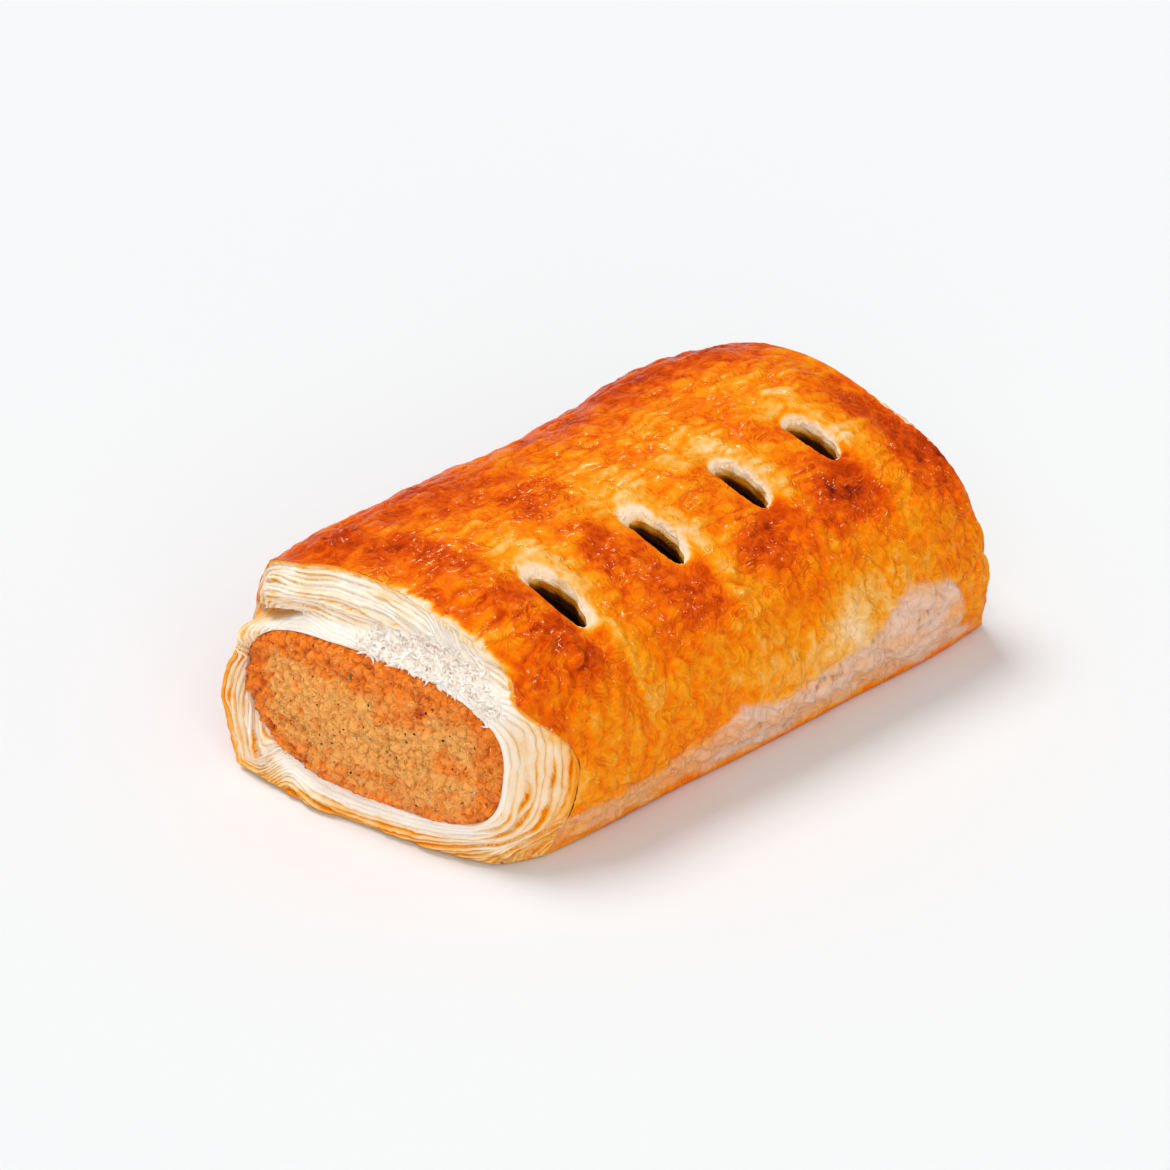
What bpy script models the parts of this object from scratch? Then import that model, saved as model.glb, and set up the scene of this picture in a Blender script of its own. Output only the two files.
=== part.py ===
"""Sausage roll: a wide baked pastry with four steam slits over one flat core of sausage meat.

Frame: metres, +Z up, +X along the roll from its open, cut end to its far end, +Y towards
the folded side. The origin is the bottom centre of the box. The pastry is a loft of
sections from end to end. A tunnel runs through it for the meat, the slits open down into
the tunnel, and a flat pocket opens under the top flap at the cut end.
"""
import math

import bmesh
import bpy
import numpy as np
from mathutils import Matrix

MM = 0.001

# Body of the pastry, in millimetres
LENGTH = 132.0
HEIGHT_FRONT = 44.6
HEIGHT_BACK = 48.5
HEIGHT_SWELL = -0.8
HALF_WIDTH_FRONT = 35.5
HALF_WIDTH_BACK = 40.5
HALF_WIDTH_SWELL = 0.4
FRONT_DROOP = 0.6
FRONT_DROOP_REACH = 7.0
BACK_DROOP = 3.0
BACK_DROOP_REACH = 9.0
DROOP_WIDTH_SHARE = 0.5

# Cross-section: widest at WAIST of the height, a full shoulder on the folded side (+Y)
# and a long slope on the seam side (-Y)
WAIST = 0.37
FOLD_EXPONENTS = (2.9, 2.4)
SEAM_EXPONENTS = (1.85, 1.97)
PEAK_SHIFT = 0.05
FOLD_UNDERCUT = 0.17
SEAM_UNDERCUT = 0.12
CORNER_RADIUS = 2.4
RIM_PROUD = 0.7
RIM_TOP = 3.6
RIM_BLEND = 1.0

# Ends: how far each face stands back from the straight cut
END_LIFT = 0.8
END_LIFT_REACH = 3.0
LEAST_LIFT = 0.02
FRONT_LEAN = 0.05
FRONT_WRAP_LEAN = 0.12
FRONT_WRAP_START = 14.0
FLAP_STEP = 3.5
FLAP_START = 31.0
FLAP_END = 35.0
FLAP_DIP = 9.0
FLAP_LEAN = 0.55
CRUST_SETBACK = 8.5
CRUST_SIDE = (0.80, 1.0)
CRUST_FOOT = (3.0, 14.0)
CRUST_FADE = (18.0, 38.0)
CRUST_FADE_SHARE = 0.55
FRONT_SLANT_START = 9.0
FRONT_SLANT = 0.21
FRONT_CORNER = 6.0
FRONT_CORNER_POWER = 5.0
BACK_LEAN = 0.18
BACK_SEAM_BOW = 4.5
BACK_SEAM_POWER = 5.0
BACK_FOLD_BOW = 13.0
BACK_FOLD_POWER = 2.2

# Meat core and the tunnel around it
MEAT_HALF_WIDTH = 30.0
MEAT_HALF_HEIGHT = 12.8
MEAT_CENTRE_Y = -1.0
MEAT_CENTRE_Z = 19.6
MEAT_EXPONENT = 2.7
MEAT_GROWTH = 0.08
MEAT_CROWN = 1.2
MEAT_SETBACK = 0.4
MEAT_LEAN = 0.12
MEAT_SLANT_SHARE = 0.85
MEAT_PROUD = 0.2
WALL_CROWN = 0.4
WALL_OVERLAP = 0.5
FIT_GAP = 0.3
TUNNEL_OVERRUN = 3.0

# Steam slits, along the roll from the front one
SLIT_COUNT = 4
SLIT_FIRST_X = -31.5
SLIT_PITCH = 27.3
SLIT_PITCH_LOSS = 1.45
SLIT_FIRST_Y = -16.0
SLIT_STEP_Y = 0.45
SLIT_HALF_LENGTH = 8.0
SLIT_LENGTH_LOSS = 0.4
SLIT_HALF_WIDTH = 2.9
SLIT_FLARE = 1.25
SLIT_TILT = math.radians(13.0)
SLIT_SKEW = math.radians(6.0)
SLIT_DEPTH = 18.0
SLIT_CENTRE_Z = 38.0
LIP_RISE = 1.1
LIP_REACH = 3.2
LIP_LOWEST_Z = 25.0

# Pocket under the top flap: a flat slot at the folded side of the cut end
POCKET_DEPTH = 20.0
POCKET_WIDTH = 30.0
POCKET_HEIGHT = 3.0
POCKET_CENTRE = (-60.0, 33.0, 25.6)
POCKET_TILT = math.radians(-30.0)

# Mesh density
STATIONS = 44
TOP_STEPS = 34
SIDE_STEPS = 4
CORNER_STEPS = 3
BASE_STEPS = 8
CAP_RINGS = 4
MEAT_STATIONS = 16
MEAT_STEPS = 40
CUTTER_STEPS = 20
SHARP_ANGLE = math.radians(40.0)

COLOURS = {
    "pastry": ((0.78, 0.40, 0.09), 0.42),
    "filling": ((0.62, 0.30, 0.13), 0.5),
}


def clear_scene():
    """Remove every object, so that the script gives the same result each run."""
    for obj in list(bpy.data.objects):
        bpy.data.objects.remove(obj, do_unlink=True)


def mix(a, b, t):
    """Value between a and b."""
    return a + (b - a) * t


def smooth_step(value, low, high):
    """0 below low, 1 above high, and a smooth rise between."""
    t = np.clip((value - low) / (high - low), 0.0, 1.0)
    return t * t * (3.0 - 2.0 * t)


def body_size(u):
    """Height and half width of the pastry at the fraction u along the roll."""
    from_front = u * LENGTH
    droop = FRONT_DROOP * math.exp(-(from_front / FRONT_DROOP_REACH) ** 2)
    droop += BACK_DROOP * math.exp(-((LENGTH - from_front) / BACK_DROOP_REACH) ** 2)
    swell = math.sin(math.pi * u)
    height = mix(HEIGHT_FRONT, HEIGHT_BACK, u) + HEIGHT_SWELL * swell - droop
    half = mix(HALF_WIDTH_FRONT, HALF_WIDTH_BACK, u) + HALF_WIDTH_SWELL * swell
    return height, half - DROOP_WIDTH_SHARE * droop


def side_points(waist, half, undercut, sign):
    """One side from the waist down to the tray: a tuck inwards, then a round corner."""
    points = []
    tucked = half * (1.0 - undercut)
    for i in range(1, SIDE_STEPS + 1):
        t = i / SIDE_STEPS
        z = mix(waist, CORNER_RADIUS, t)
        rim = RIM_PROUD * (1.0 - smooth_step(z, RIM_TOP - RIM_BLEND, RIM_TOP + RIM_BLEND))
        points.append((sign * (mix(half, tucked, t * t) + rim), z))
    for i in range(1, CORNER_STEPS + 1):
        turn = 0.5 * math.pi * i / CORNER_STEPS
        y = tucked + RIM_PROUD - CORNER_RADIUS * (1.0 - math.cos(turn))
        points.append((sign * y, CORNER_RADIUS * (1.0 - math.sin(turn))))
    return points


def section(u):
    """Ring of (y, z) points: over the top from +Y to -Y, down, along the base, and up."""
    height, half = body_size(u)
    waist = WAIST * height
    ring = []
    for i in range(TOP_STEPS + 1):
        turn = math.pi * i / TOP_STEPS
        c, s = math.cos(turn), math.sin(turn)
        power = 2.0 / mix(*(FOLD_EXPONENTS if c > 0.0 else SEAM_EXPONENTS), u)
        across = math.copysign(abs(c) ** power, c)
        across = PEAK_SHIFT + across * (1.0 - math.copysign(PEAK_SHIFT, across))
        ring.append((half * across, waist + (height - waist) * s ** power))
    seam = side_points(waist, half, SEAM_UNDERCUT, -1.0)
    fold = side_points(waist, half, FOLD_UNDERCUT, 1.0)
    ring += seam
    for i in range(1, BASE_STEPS):
        ring.append((mix(seam[-1][0], fold[-1][0], i / BASE_STEPS), 0.0))
    ring += fold[::-1]
    return np.array(ring), half


def slant(y):
    """Slant of the cut: it runs back towards the seam side."""
    return FRONT_SLANT * np.maximum(FRONT_SLANT_START - y, 0.0)


def front_setback(y, z, half):
    """How far the cut end stands back: a leaning flap above, a bow round the seam side."""
    seam = np.maximum(-y / half, 0.0)
    back = FRONT_LEAN * z + FRONT_WRAP_LEAN * np.maximum(z - FRONT_WRAP_START, 0.0)
    dip = FLAP_DIP * np.maximum(y / half, 0.0) ** 2
    back = back + FLAP_STEP * smooth_step(z, FLAP_START - dip, FLAP_END - dip)
    back = back + FLAP_LEAN * np.maximum(z - FLAP_END + dip, 0.0)
    low_edge = smooth_step(z, *CRUST_FOOT) * (1.0 - CRUST_FADE_SHARE * smooth_step(z, *CRUST_FADE))
    back = back + CRUST_SETBACK * low_edge * smooth_step(seam, *CRUST_SIDE)
    return back + slant(y) + FRONT_CORNER * seam ** FRONT_CORNER_POWER


def back_setback(y, z, half):
    """How far the far end stands in: a lean, and a large round corner at the folded side."""
    q = y / half
    seam = BACK_SEAM_BOW * np.maximum(-q, 0.0) ** BACK_SEAM_POWER
    fold = BACK_FOLD_BOW * np.maximum(q, 0.0) ** BACK_FOLD_POWER
    return BACK_LEAN * z + seam + fold


def slits():
    """Middle of each slit in plan and its half length, from the front one."""
    return [(SLIT_FIRST_X + i * (SLIT_PITCH - i * SLIT_PITCH_LOSS),
             SLIT_FIRST_Y + i * SLIT_STEP_Y,
             SLIT_HALF_LENGTH - i * SLIT_LENGTH_LOSS)
            for i in range(SLIT_COUNT)]


def lip(x, y, z):
    """Height of the puffed lip round each slit, highest at the edge of the cut."""
    rise = np.zeros_like(x)
    for cx, cy, half_length in slits():
        across = (x - cx) + math.tan(SLIT_SKEW) * (y - cy)
        radius = np.hypot(across / SLIT_HALF_WIDTH, (y - cy) / half_length)
        outside = np.maximum(radius - 1.0, 0.0) * SLIT_HALF_WIDTH
        rise = np.maximum(rise, LIP_RISE * np.exp(-(outside / LIP_REACH) ** 2))
    return np.where(z > LIP_LOWEST_Z, rise, 0.0)


def body_ring(u):
    """Section at u as (x, y, z), with its ends bowed and its slit lips raised."""
    ring, half = section(u)
    y, z = ring[:, 0], ring[:, 1]
    front = front_setback(y, z, half)
    back = back_setback(y, z, half)
    x = -LENGTH / 2 + LENGTH * u + (1.0 - u) ** 2 * front - u ** 2 * back
    from_front = u * LENGTH
    lift = END_LIFT * math.exp(-(from_front / END_LIFT_REACH) ** 2)
    lift += END_LIFT * math.exp(-((LENGTH - from_front) / END_LIFT_REACH) ** 2)
    z = np.maximum(z, lift if lift > LEAST_LIFT else 0.0)
    return np.column_stack((x, y, z + lip(x, y, z)))


def meat_ring(x_fraction, gap, stretch):
    """Flat round ring of the meat, or of the tunnel when gap is above zero."""
    turn = np.linspace(0.0, 2.0 * math.pi, MEAT_STEPS, endpoint=False)
    c, s = np.cos(turn), np.sin(turn)
    power = 2.0 / MEAT_EXPONENT
    half_width = (MEAT_HALF_WIDTH + gap) * (1.0 + MEAT_GROWTH * x_fraction)
    half_height = (MEAT_HALF_HEIGHT + gap) * (1.0 + MEAT_GROWTH * x_fraction)
    y = MEAT_CENTRE_Y + half_width * np.sign(c) * np.abs(c) ** power
    z = MEAT_CENTRE_Z + half_height * np.sign(s) * np.abs(s) ** power
    front = meat_face(y, z)
    back = back_setback(y, z, HALF_WIDTH_BACK)
    x = -LENGTH / 2 - stretch + (LENGTH + 2.0 * stretch) * x_fraction
    x = x + (1.0 - x_fraction) ** 2 * front - x_fraction ** 2 * back
    return np.column_stack((x, y, z))


def meat_face(y, z):
    """Setback of the cut meat: near the straight cut, bowed back at the seam side."""
    return MEAT_SETBACK + MEAT_LEAN * z + MEAT_SLANT_SHARE * slant(y)


def meat_outline(y, z, gap):
    """The points of the meat's outline that lie in the directions of y and z."""
    dy, dz = y - MEAT_CENTRE_Y, z - MEAT_CENTRE_Z
    reach = (np.abs(dy) / (MEAT_HALF_WIDTH + gap)) ** MEAT_EXPONENT
    reach = reach + (np.abs(dz) / (MEAT_HALF_HEIGHT + gap)) ** MEAT_EXPONENT
    shrink = reach ** (-1.0 / MEAT_EXPONENT)
    return MEAT_CENTRE_Y + dy * shrink, MEAT_CENTRE_Z + dz * shrink


def wall_rings(ring, face):
    """Rings of a cut wall, crowned from the crust's edge in to the edge of the meat."""
    y, z = meat_outline(ring[:, 1], ring[:, 2], -WALL_OVERLAP)
    inner = np.column_stack((face(y, z), y, z))
    rings = []
    for i in range(1, CAP_RINGS + 1):
        step = mix(ring, inner, i / CAP_RINGS)
        step[:, 0] = mix(ring[:, 0], inner[:, 0], (i / CAP_RINGS) ** WALL_CROWN)
        rings.append(step)
    middle = np.array([face(MEAT_CENTRE_Y, MEAT_CENTRE_Z), MEAT_CENTRE_Y, MEAT_CENTRE_Z])
    return rings, middle


def core_rings(ring, face):
    """Rings that shrink to the middle of an end of the meat, laid on its face."""
    centre = np.array([MEAT_CENTRE_Y, MEAT_CENTRE_Z])
    rings = []
    for i in range(1, CAP_RINGS):
        yz = mix(ring[:, 1:], centre, i / CAP_RINGS)
        rings.append(np.column_stack((face(yz[:, 0], yz[:, 1]), yz)))
    return rings, np.array([face(*centre), *centre])


def loft(name, rings, end_rings, front_face, back_face):
    """Closed body through rings, each end closed by shrinking rings on its own face."""
    front_rings, front_middle = end_rings(rings[0], front_face)
    back_rings, back_middle = end_rings(rings[-1], back_face)
    stack = front_rings[::-1] + list(rings) + back_rings
    bm = bmesh.new()
    rows = [[bm.verts.new(p * MM) for p in ring] for ring in stack]
    ends = [bm.verts.new(front_middle * MM), bm.verts.new(back_middle * MM)]
    count = len(rows[0])
    for near, far in zip(rows, rows[1:]):
        for i in range(count):
            j = (i + 1) % count
            bm.faces.new((near[i], near[j], far[j], far[i]))
    for i in range(count):
        j = (i + 1) % count
        bm.faces.new((rows[0][j], rows[0][i], ends[0]))
        bm.faces.new((rows[-1][i], rows[-1][j], ends[1]))
    bmesh.ops.recalc_face_normals(bm, faces=bm.faces)
    return finish_mesh(name, bm)


def finish_mesh(name, bm):
    """Turn a bmesh into a smooth-shaded object."""
    mesh = bpy.data.meshes.new(name)
    bm.to_mesh(mesh)
    bm.free()
    mesh.shade_smooth()
    mesh.set_sharp_from_angle(angle=SHARP_ANGLE)
    return bpy.data.objects.new(name, mesh)


def make_pastry():
    """Outer body of the pastry, still solid."""
    rings = [body_ring(i / (STATIONS - 1)) for i in range(STATIONS)]

    def front(y, z):
        return -LENGTH / 2 + MEAT_PROUD + meat_face(y, z)

    def back(y, z):
        return LENGTH / 2 - MEAT_PROUD - back_setback(y, z, HALF_WIDTH_BACK)

    return loft("pastry", rings, wall_rings, front, back)


def make_core(name, gap, stretch, crown):
    """Meat core, or the longer and wider core that cuts its tunnel."""
    rings = [meat_ring(i / (MEAT_STATIONS - 1), gap, stretch) for i in range(MEAT_STATIONS)]

    def bulge(y, z):
        reach = np.hypot((y - MEAT_CENTRE_Y) / MEAT_HALF_WIDTH,
                         (z - MEAT_CENTRE_Z) / MEAT_HALF_HEIGHT)
        return crown * np.maximum(1.0 - reach ** 2, 0.0)

    def front(y, z):
        return -LENGTH / 2 - stretch + meat_face(y, z) - bulge(y, z)

    def back(y, z):
        return LENGTH / 2 + stretch - back_setback(y, z, HALF_WIDTH_BACK) + bulge(y, z)

    return loft(name, rings, core_rings, front, back)


def make_slit(index, cx, cy, half_length):
    """Flared oval plug that opens one slit, square to the sloping top."""
    bm = bmesh.new()
    bmesh.ops.create_cone(bm, cap_ends=True, segments=CUTTER_STEPS, radius1=1.0,
                          radius2=SLIT_FLARE, depth=1.0)
    scale = Matrix.Diagonal((SLIT_HALF_WIDTH, half_length, SLIT_DEPTH, 1.0))
    turn = Matrix.Rotation(SLIT_TILT, 4, "X") @ Matrix.Rotation(SLIT_SKEW, 4, "Z")
    place = Matrix.Translation((cx, cy, SLIT_CENTRE_Z))
    bmesh.ops.transform(bm, matrix=Matrix.Scale(MM, 4) @ place @ turn @ scale, verts=bm.verts)
    return finish_mesh(f"slit_cutter_{index}", bm)


def make_pocket():
    """Flat oval bar, lying across the roll, that opens the pocket under the flap."""
    bm = bmesh.new()
    bmesh.ops.create_cone(bm, cap_ends=True, segments=CUTTER_STEPS, radius1=0.5, radius2=0.5, depth=1.0)
    scale = Matrix.Diagonal((POCKET_DEPTH, POCKET_HEIGHT, POCKET_WIDTH, 1.0))
    lay = Matrix.Rotation(math.radians(90.0) + POCKET_TILT, 4, "X")
    place = Matrix.Translation(POCKET_CENTRE)
    bmesh.ops.transform(bm, matrix=Matrix.Scale(MM, 4) @ place @ lay @ scale, verts=bm.verts)
    return finish_mesh("pocket_cutter", bm)


def make_material(name):
    """Plain food material for one node."""
    colour, roughness = COLOURS[name]
    material = bpy.data.materials.new(name)
    material.use_nodes = True
    shader = material.node_tree.nodes["Principled BSDF"]
    shader.inputs["Base Color"].default_value = (*colour, 1.0)
    shader.inputs["Roughness"].default_value = roughness
    shader.inputs["Metallic"].default_value = 0.0
    return material


def cut(target, cutter):
    """Subtract one cutter from the target with an exact Boolean."""
    modifier = target.modifiers.new(cutter.name, "BOOLEAN")
    modifier.operation = "DIFFERENCE"
    modifier.solver = "EXACT"
    modifier.object = cutter
    cutter.hide_render = True
    cutter.display_type = "WIRE"


def box_centre(obj):
    """Middle of an object's own mesh in X and Y, and its lowest Z."""
    corners = np.array([vert.co for vert in obj.data.vertices])
    low, high = corners.min(axis=0), corners.max(axis=0)
    return (low[0] + high[0]) / 2, (low[1] + high[1]) / 2, low[2]


def main():
    """Build the pastry and its meat, and set the bottom centre of the box at the origin."""
    clear_scene()
    parts = bpy.data.collections.new("sausage_roll")
    cutters = bpy.data.collections.new("cutters")
    bpy.context.scene.collection.children.link(parts)
    bpy.context.scene.collection.children.link(cutters)

    pastry = make_pastry()
    filling = make_core("filling", 0.0, 0.0, MEAT_CROWN)
    tools = [make_core("tunnel_cutter", FIT_GAP, TUNNEL_OVERRUN, 0.0), make_pocket()]
    tools += [make_slit(i, *slit) for i, slit in enumerate(slits())]

    for node in (pastry, filling):
        parts.objects.link(node)
        node.data.materials.append(make_material(node.name))
    x, y, z = box_centre(pastry)
    for obj in [pastry, filling] + tools:
        obj.location = (-x, -y, -z)
    for tool in tools:
        cutters.objects.link(tool)
        cut(pastry, tool)


if __name__ == "__main__":
    main()
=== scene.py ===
"""Sausage roll: puff pastry with four steam slits round a flat core of sausage meat."""
import logging
import math
from dataclasses import dataclass, field
from enum import Enum

import bpy
import numpy as np
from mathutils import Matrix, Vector


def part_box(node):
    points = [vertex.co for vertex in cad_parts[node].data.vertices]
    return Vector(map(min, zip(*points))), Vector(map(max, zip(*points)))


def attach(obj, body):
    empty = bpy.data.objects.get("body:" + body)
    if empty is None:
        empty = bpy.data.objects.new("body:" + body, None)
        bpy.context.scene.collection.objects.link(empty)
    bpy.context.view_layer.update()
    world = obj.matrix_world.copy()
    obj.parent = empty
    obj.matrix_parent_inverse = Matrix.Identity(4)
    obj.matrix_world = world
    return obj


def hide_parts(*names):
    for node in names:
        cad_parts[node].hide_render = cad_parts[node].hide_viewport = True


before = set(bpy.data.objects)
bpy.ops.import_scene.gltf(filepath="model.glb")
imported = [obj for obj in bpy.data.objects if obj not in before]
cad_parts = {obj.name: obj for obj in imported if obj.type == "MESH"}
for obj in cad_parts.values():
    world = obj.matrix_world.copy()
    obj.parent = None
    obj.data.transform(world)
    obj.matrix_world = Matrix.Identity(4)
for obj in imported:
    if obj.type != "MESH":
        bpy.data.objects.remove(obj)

MM = 0.001
LOG = logging.getLogger("sausage_roll")
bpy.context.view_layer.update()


class End(Enum):
    """The two cut ends of the roll."""

    FRONT = "front"
    BACK = "back"


# ---------------------------------------------------------------- numbers and noise


def mix(a: np.ndarray, b: np.ndarray, t: np.ndarray) -> np.ndarray:
    """Value between a and b: a + (b - a) t."""
    return a + (b - a) * t


def ramp(value: np.ndarray, low: float, high: float) -> np.ndarray:
    """Smooth rise: 0 below low, 1 above high, 3t^2 - 2t^3 between."""
    t = np.clip((value - low) / (high - low), 0.0, 1.0)
    return t * t * (3.0 - 2.0 * t)


def bell(distance: np.ndarray, width: float) -> np.ndarray:
    """Bell curve exp(-(d / width)^2)."""
    return np.exp(-(distance / width) ** 2)


def hashed(i: np.ndarray, j: np.ndarray, k: np.ndarray, seed: int) -> np.ndarray:
    """Random number from 0 to 1 for each whole-numbered lattice point.

    Args:
        i, j, k: lattice coordinates.
        seed: picks the pattern.

    Returns:
        The same number for the same point and seed, from mixed integer products.
    """
    h = (i.astype(np.int64) * 73856093) ^ (j.astype(np.int64) * 19349663)
    h = h ^ (k.astype(np.int64) * 83492791) ^ (seed * 2654435761)
    h = (h & 0xFFFFFFFF).astype(np.uint64)
    h = ((h ^ (h >> np.uint64(16))) * np.uint64(73244475)) & np.uint64(0xFFFFFFFF)
    h = ((h ^ (h >> np.uint64(16))) * np.uint64(73244475)) & np.uint64(0xFFFFFFFF)
    h = h ^ (h >> np.uint64(16))
    return h.astype(np.float64) / 4294967295.0


def noise(p: np.ndarray, size: float, seed: int) -> np.ndarray:
    """Smooth noise from -1 to 1: random lattice values blended by eighths of a cell.

    Args:
        p: points, shape (..., 3), in mm.
        size: cell size in mm.
        seed: picks the pattern.
    """
    q = p / size
    base = np.floor(q)
    f = q - base
    f = f * f * f * (f * (f * 6.0 - 15.0) + 10.0)
    total = np.zeros(p.shape[:-1])
    for dx in (0, 1):
        for dy in (0, 1):
            for dz in (0, 1):
                value = hashed(base[..., 0] + dx, base[..., 1] + dy, base[..., 2] + dz, seed)
                wx = f[..., 0] if dx else 1.0 - f[..., 0]
                wy = f[..., 1] if dy else 1.0 - f[..., 1]
                wz = f[..., 2] if dz else 1.0 - f[..., 2]
                total += value * wx * wy * wz
    return total * 2.0 - 1.0


def rough(p: np.ndarray, size: float, octaves: int, seed: int) -> np.ndarray:
    """Sum of noises, each half the size and half the height of the one before."""
    total = np.zeros(p.shape[:-1])
    for octave in range(octaves):
        total += 0.5 ** octave * noise(p, size * 0.5 ** octave, seed + octave)
    return total / (2.0 - 0.5 ** (octaves - 1))


def cells(p: np.ndarray, size: float, seed: int) -> tuple[np.ndarray, np.ndarray]:
    """Distances to the nearest and next nearest of one random point in each cell.

    Args:
        p: points, shape (..., 3), in mm.
        size: cell size in mm.
        seed: picks the pattern.

    Returns:
        Nearest distance and next nearest distance, in cells.
    """
    q = p / size
    base = np.floor(q)
    first = np.full(p.shape[:-1], 9.0)
    second = np.full(p.shape[:-1], 9.0)
    for dx in (-1, 0, 1):
        for dy in (-1, 0, 1):
            for dz in (-1, 0, 1):
                i, j, k = (base[..., axis] + d for axis, d in enumerate((dx, dy, dz)))
                gx = i + hashed(i, j, k, seed) - q[..., 0]
                gy = j + hashed(i, j, k, seed + 1) - q[..., 1]
                gz = k + hashed(i, j, k, seed + 2) - q[..., 2]
                d = np.sqrt(gx * gx + gy * gy + gz * gz)
                second = np.minimum(second, np.maximum(first, d))
                first = np.minimum(first, d)
    return first, second


# ---------------------------------------------------------------- meshes


def grid_faces(rows: int, columns: int, wrap_rows: bool, wrap_columns: bool) -> np.ndarray:
    """Quads of a grid whose vertex r * columns + c is at row r and column c."""
    r = np.arange(rows if wrap_rows else rows - 1)[:, None]
    c = np.arange(columns if wrap_columns else columns - 1)[None, :]
    r1, c1 = (r + 1) % rows, (c + 1) % columns
    quads = np.stack([r * columns + c, r1 * columns + c, r1 * columns + c1, r * columns + c1], -1)
    return quads.reshape(-1, 4)


def grid_normals(points: np.ndarray, wrap_columns: bool = True) -> np.ndarray:
    """Unit cross product of the steps along the rows and along the columns."""
    along = np.gradient(points, axis=0)
    if wrap_columns:
        across = np.roll(points, -1, axis=1) - np.roll(points, 1, axis=1)
    else:
        across = np.gradient(points, axis=1)
    normal = np.cross(across, along)
    return normal / np.maximum(np.linalg.norm(normal, axis=-1, keepdims=True), 1e-9)


def make_piece(name: str, points: np.ndarray, faces: np.ndarray,
               masks: dict[str, np.ndarray] | None = None) -> bpy.types.Object:
    """Closed mesh object from points in mm and quads or triangles.

    Args:
        name: the piece's name.
        points: shape (n, 3), in mm.
        faces: shape (m, 3) or (m, 4), turned outwards here if the volume is negative.
        masks: point attributes by name.

    Returns:
        The object, linked, at the origin, with its place in its mesh.
    """
    a, b, c = (points[faces[:, k]] for k in range(3))
    volume = np.einsum("ij,ij->i", a, np.cross(b, c)).sum()
    if faces.shape[1] == 4:
        d = points[faces[:, 3]]
        volume += np.einsum("ij,ij->i", a, np.cross(c, d)).sum()
    if volume < 0.0:
        faces = faces[:, ::-1]
    mesh = bpy.data.meshes.new(name)
    corners = faces.shape[1]
    mesh.vertices.add(len(points))
    mesh.vertices.foreach_set("co", (points * MM).astype(np.float32).ravel())
    mesh.loops.add(faces.size)
    mesh.loops.foreach_set("vertex_index", faces.astype(np.int32).ravel())
    mesh.polygons.add(len(faces))
    mesh.polygons.foreach_set("loop_start", np.arange(0, faces.size, corners, dtype=np.int32))
    mesh.update(calc_edges=True)
    mesh.validate()
    mesh.shade_smooth()
    for key, values in (masks or {}).items():
        set_mask(mesh, key, values)
    obj = bpy.data.objects.new(name, mesh)
    bpy.context.scene.collection.objects.link(obj)
    return obj


def set_mask(mesh: bpy.types.Mesh, name: str, values: np.ndarray) -> None:
    """Store one number for each vertex."""
    attribute = mesh.attributes.get(name) or mesh.attributes.new(name, "FLOAT", "POINT")
    attribute.data.foreach_set("value", np.asarray(values, np.float32).ravel())


def dress(obj: bpy.types.Object, material: bpy.types.Material, slot: str,
          *nodes: str) -> bpy.types.Object:
    """Give a piece its material and body, and hide the CAD nodes that it stands for."""
    obj.data.materials.clear()
    obj.data.materials.append(material)
    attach(obj, "root")
    if nodes:
        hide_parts(*nodes)
    LOG.info("%s: %d faces", obj.name, len(obj.data.polygons))
    return obj


# ---------------------------------------------------------------- the roll's form


@dataclass(frozen=True)
class Slit:
    """One steam slit: its middle in plan and its half length, in mm."""

    x: float
    y: float
    half_length: float


@dataclass(frozen=True)
class Swell:
    """A broad hill or hollow of the skin: place, reach and height, in mm."""

    x: float
    y: float
    z: float
    reach: float
    height: float


SWELLS = (
    Swell(-66.0, 36.0, 17.0, 14.0, -2.4),
    Swell(-64.0, 35.0, 23.0, 6.0, -1.6),
    Swell(-61.0, 31.0, 37.0, 7.0, 1.1),
    Swell(61.0, -14.0, 43.0, 11.0, -1.5),
    Swell(57.0, 20.0, 45.0, 12.0, 0.7),
    Swell(12.0, 30.0, 40.0, 14.0, -1.0),
    Swell(-40.0, 28.0, 40.0, 15.0, 0.8),
    Swell(-18.0, -4.0, 45.0, 7.0, 0.5),
    Swell(9.0, -2.0, 46.0, 7.0, 0.5),
    Swell(34.0, -2.0, 47.0, 7.0, 0.4),
    Swell(25.0, -36.0, 14.0, 12.0, -0.7),
    Swell(-20.0, -34.0, 12.0, 14.0, -0.5),
)


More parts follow.
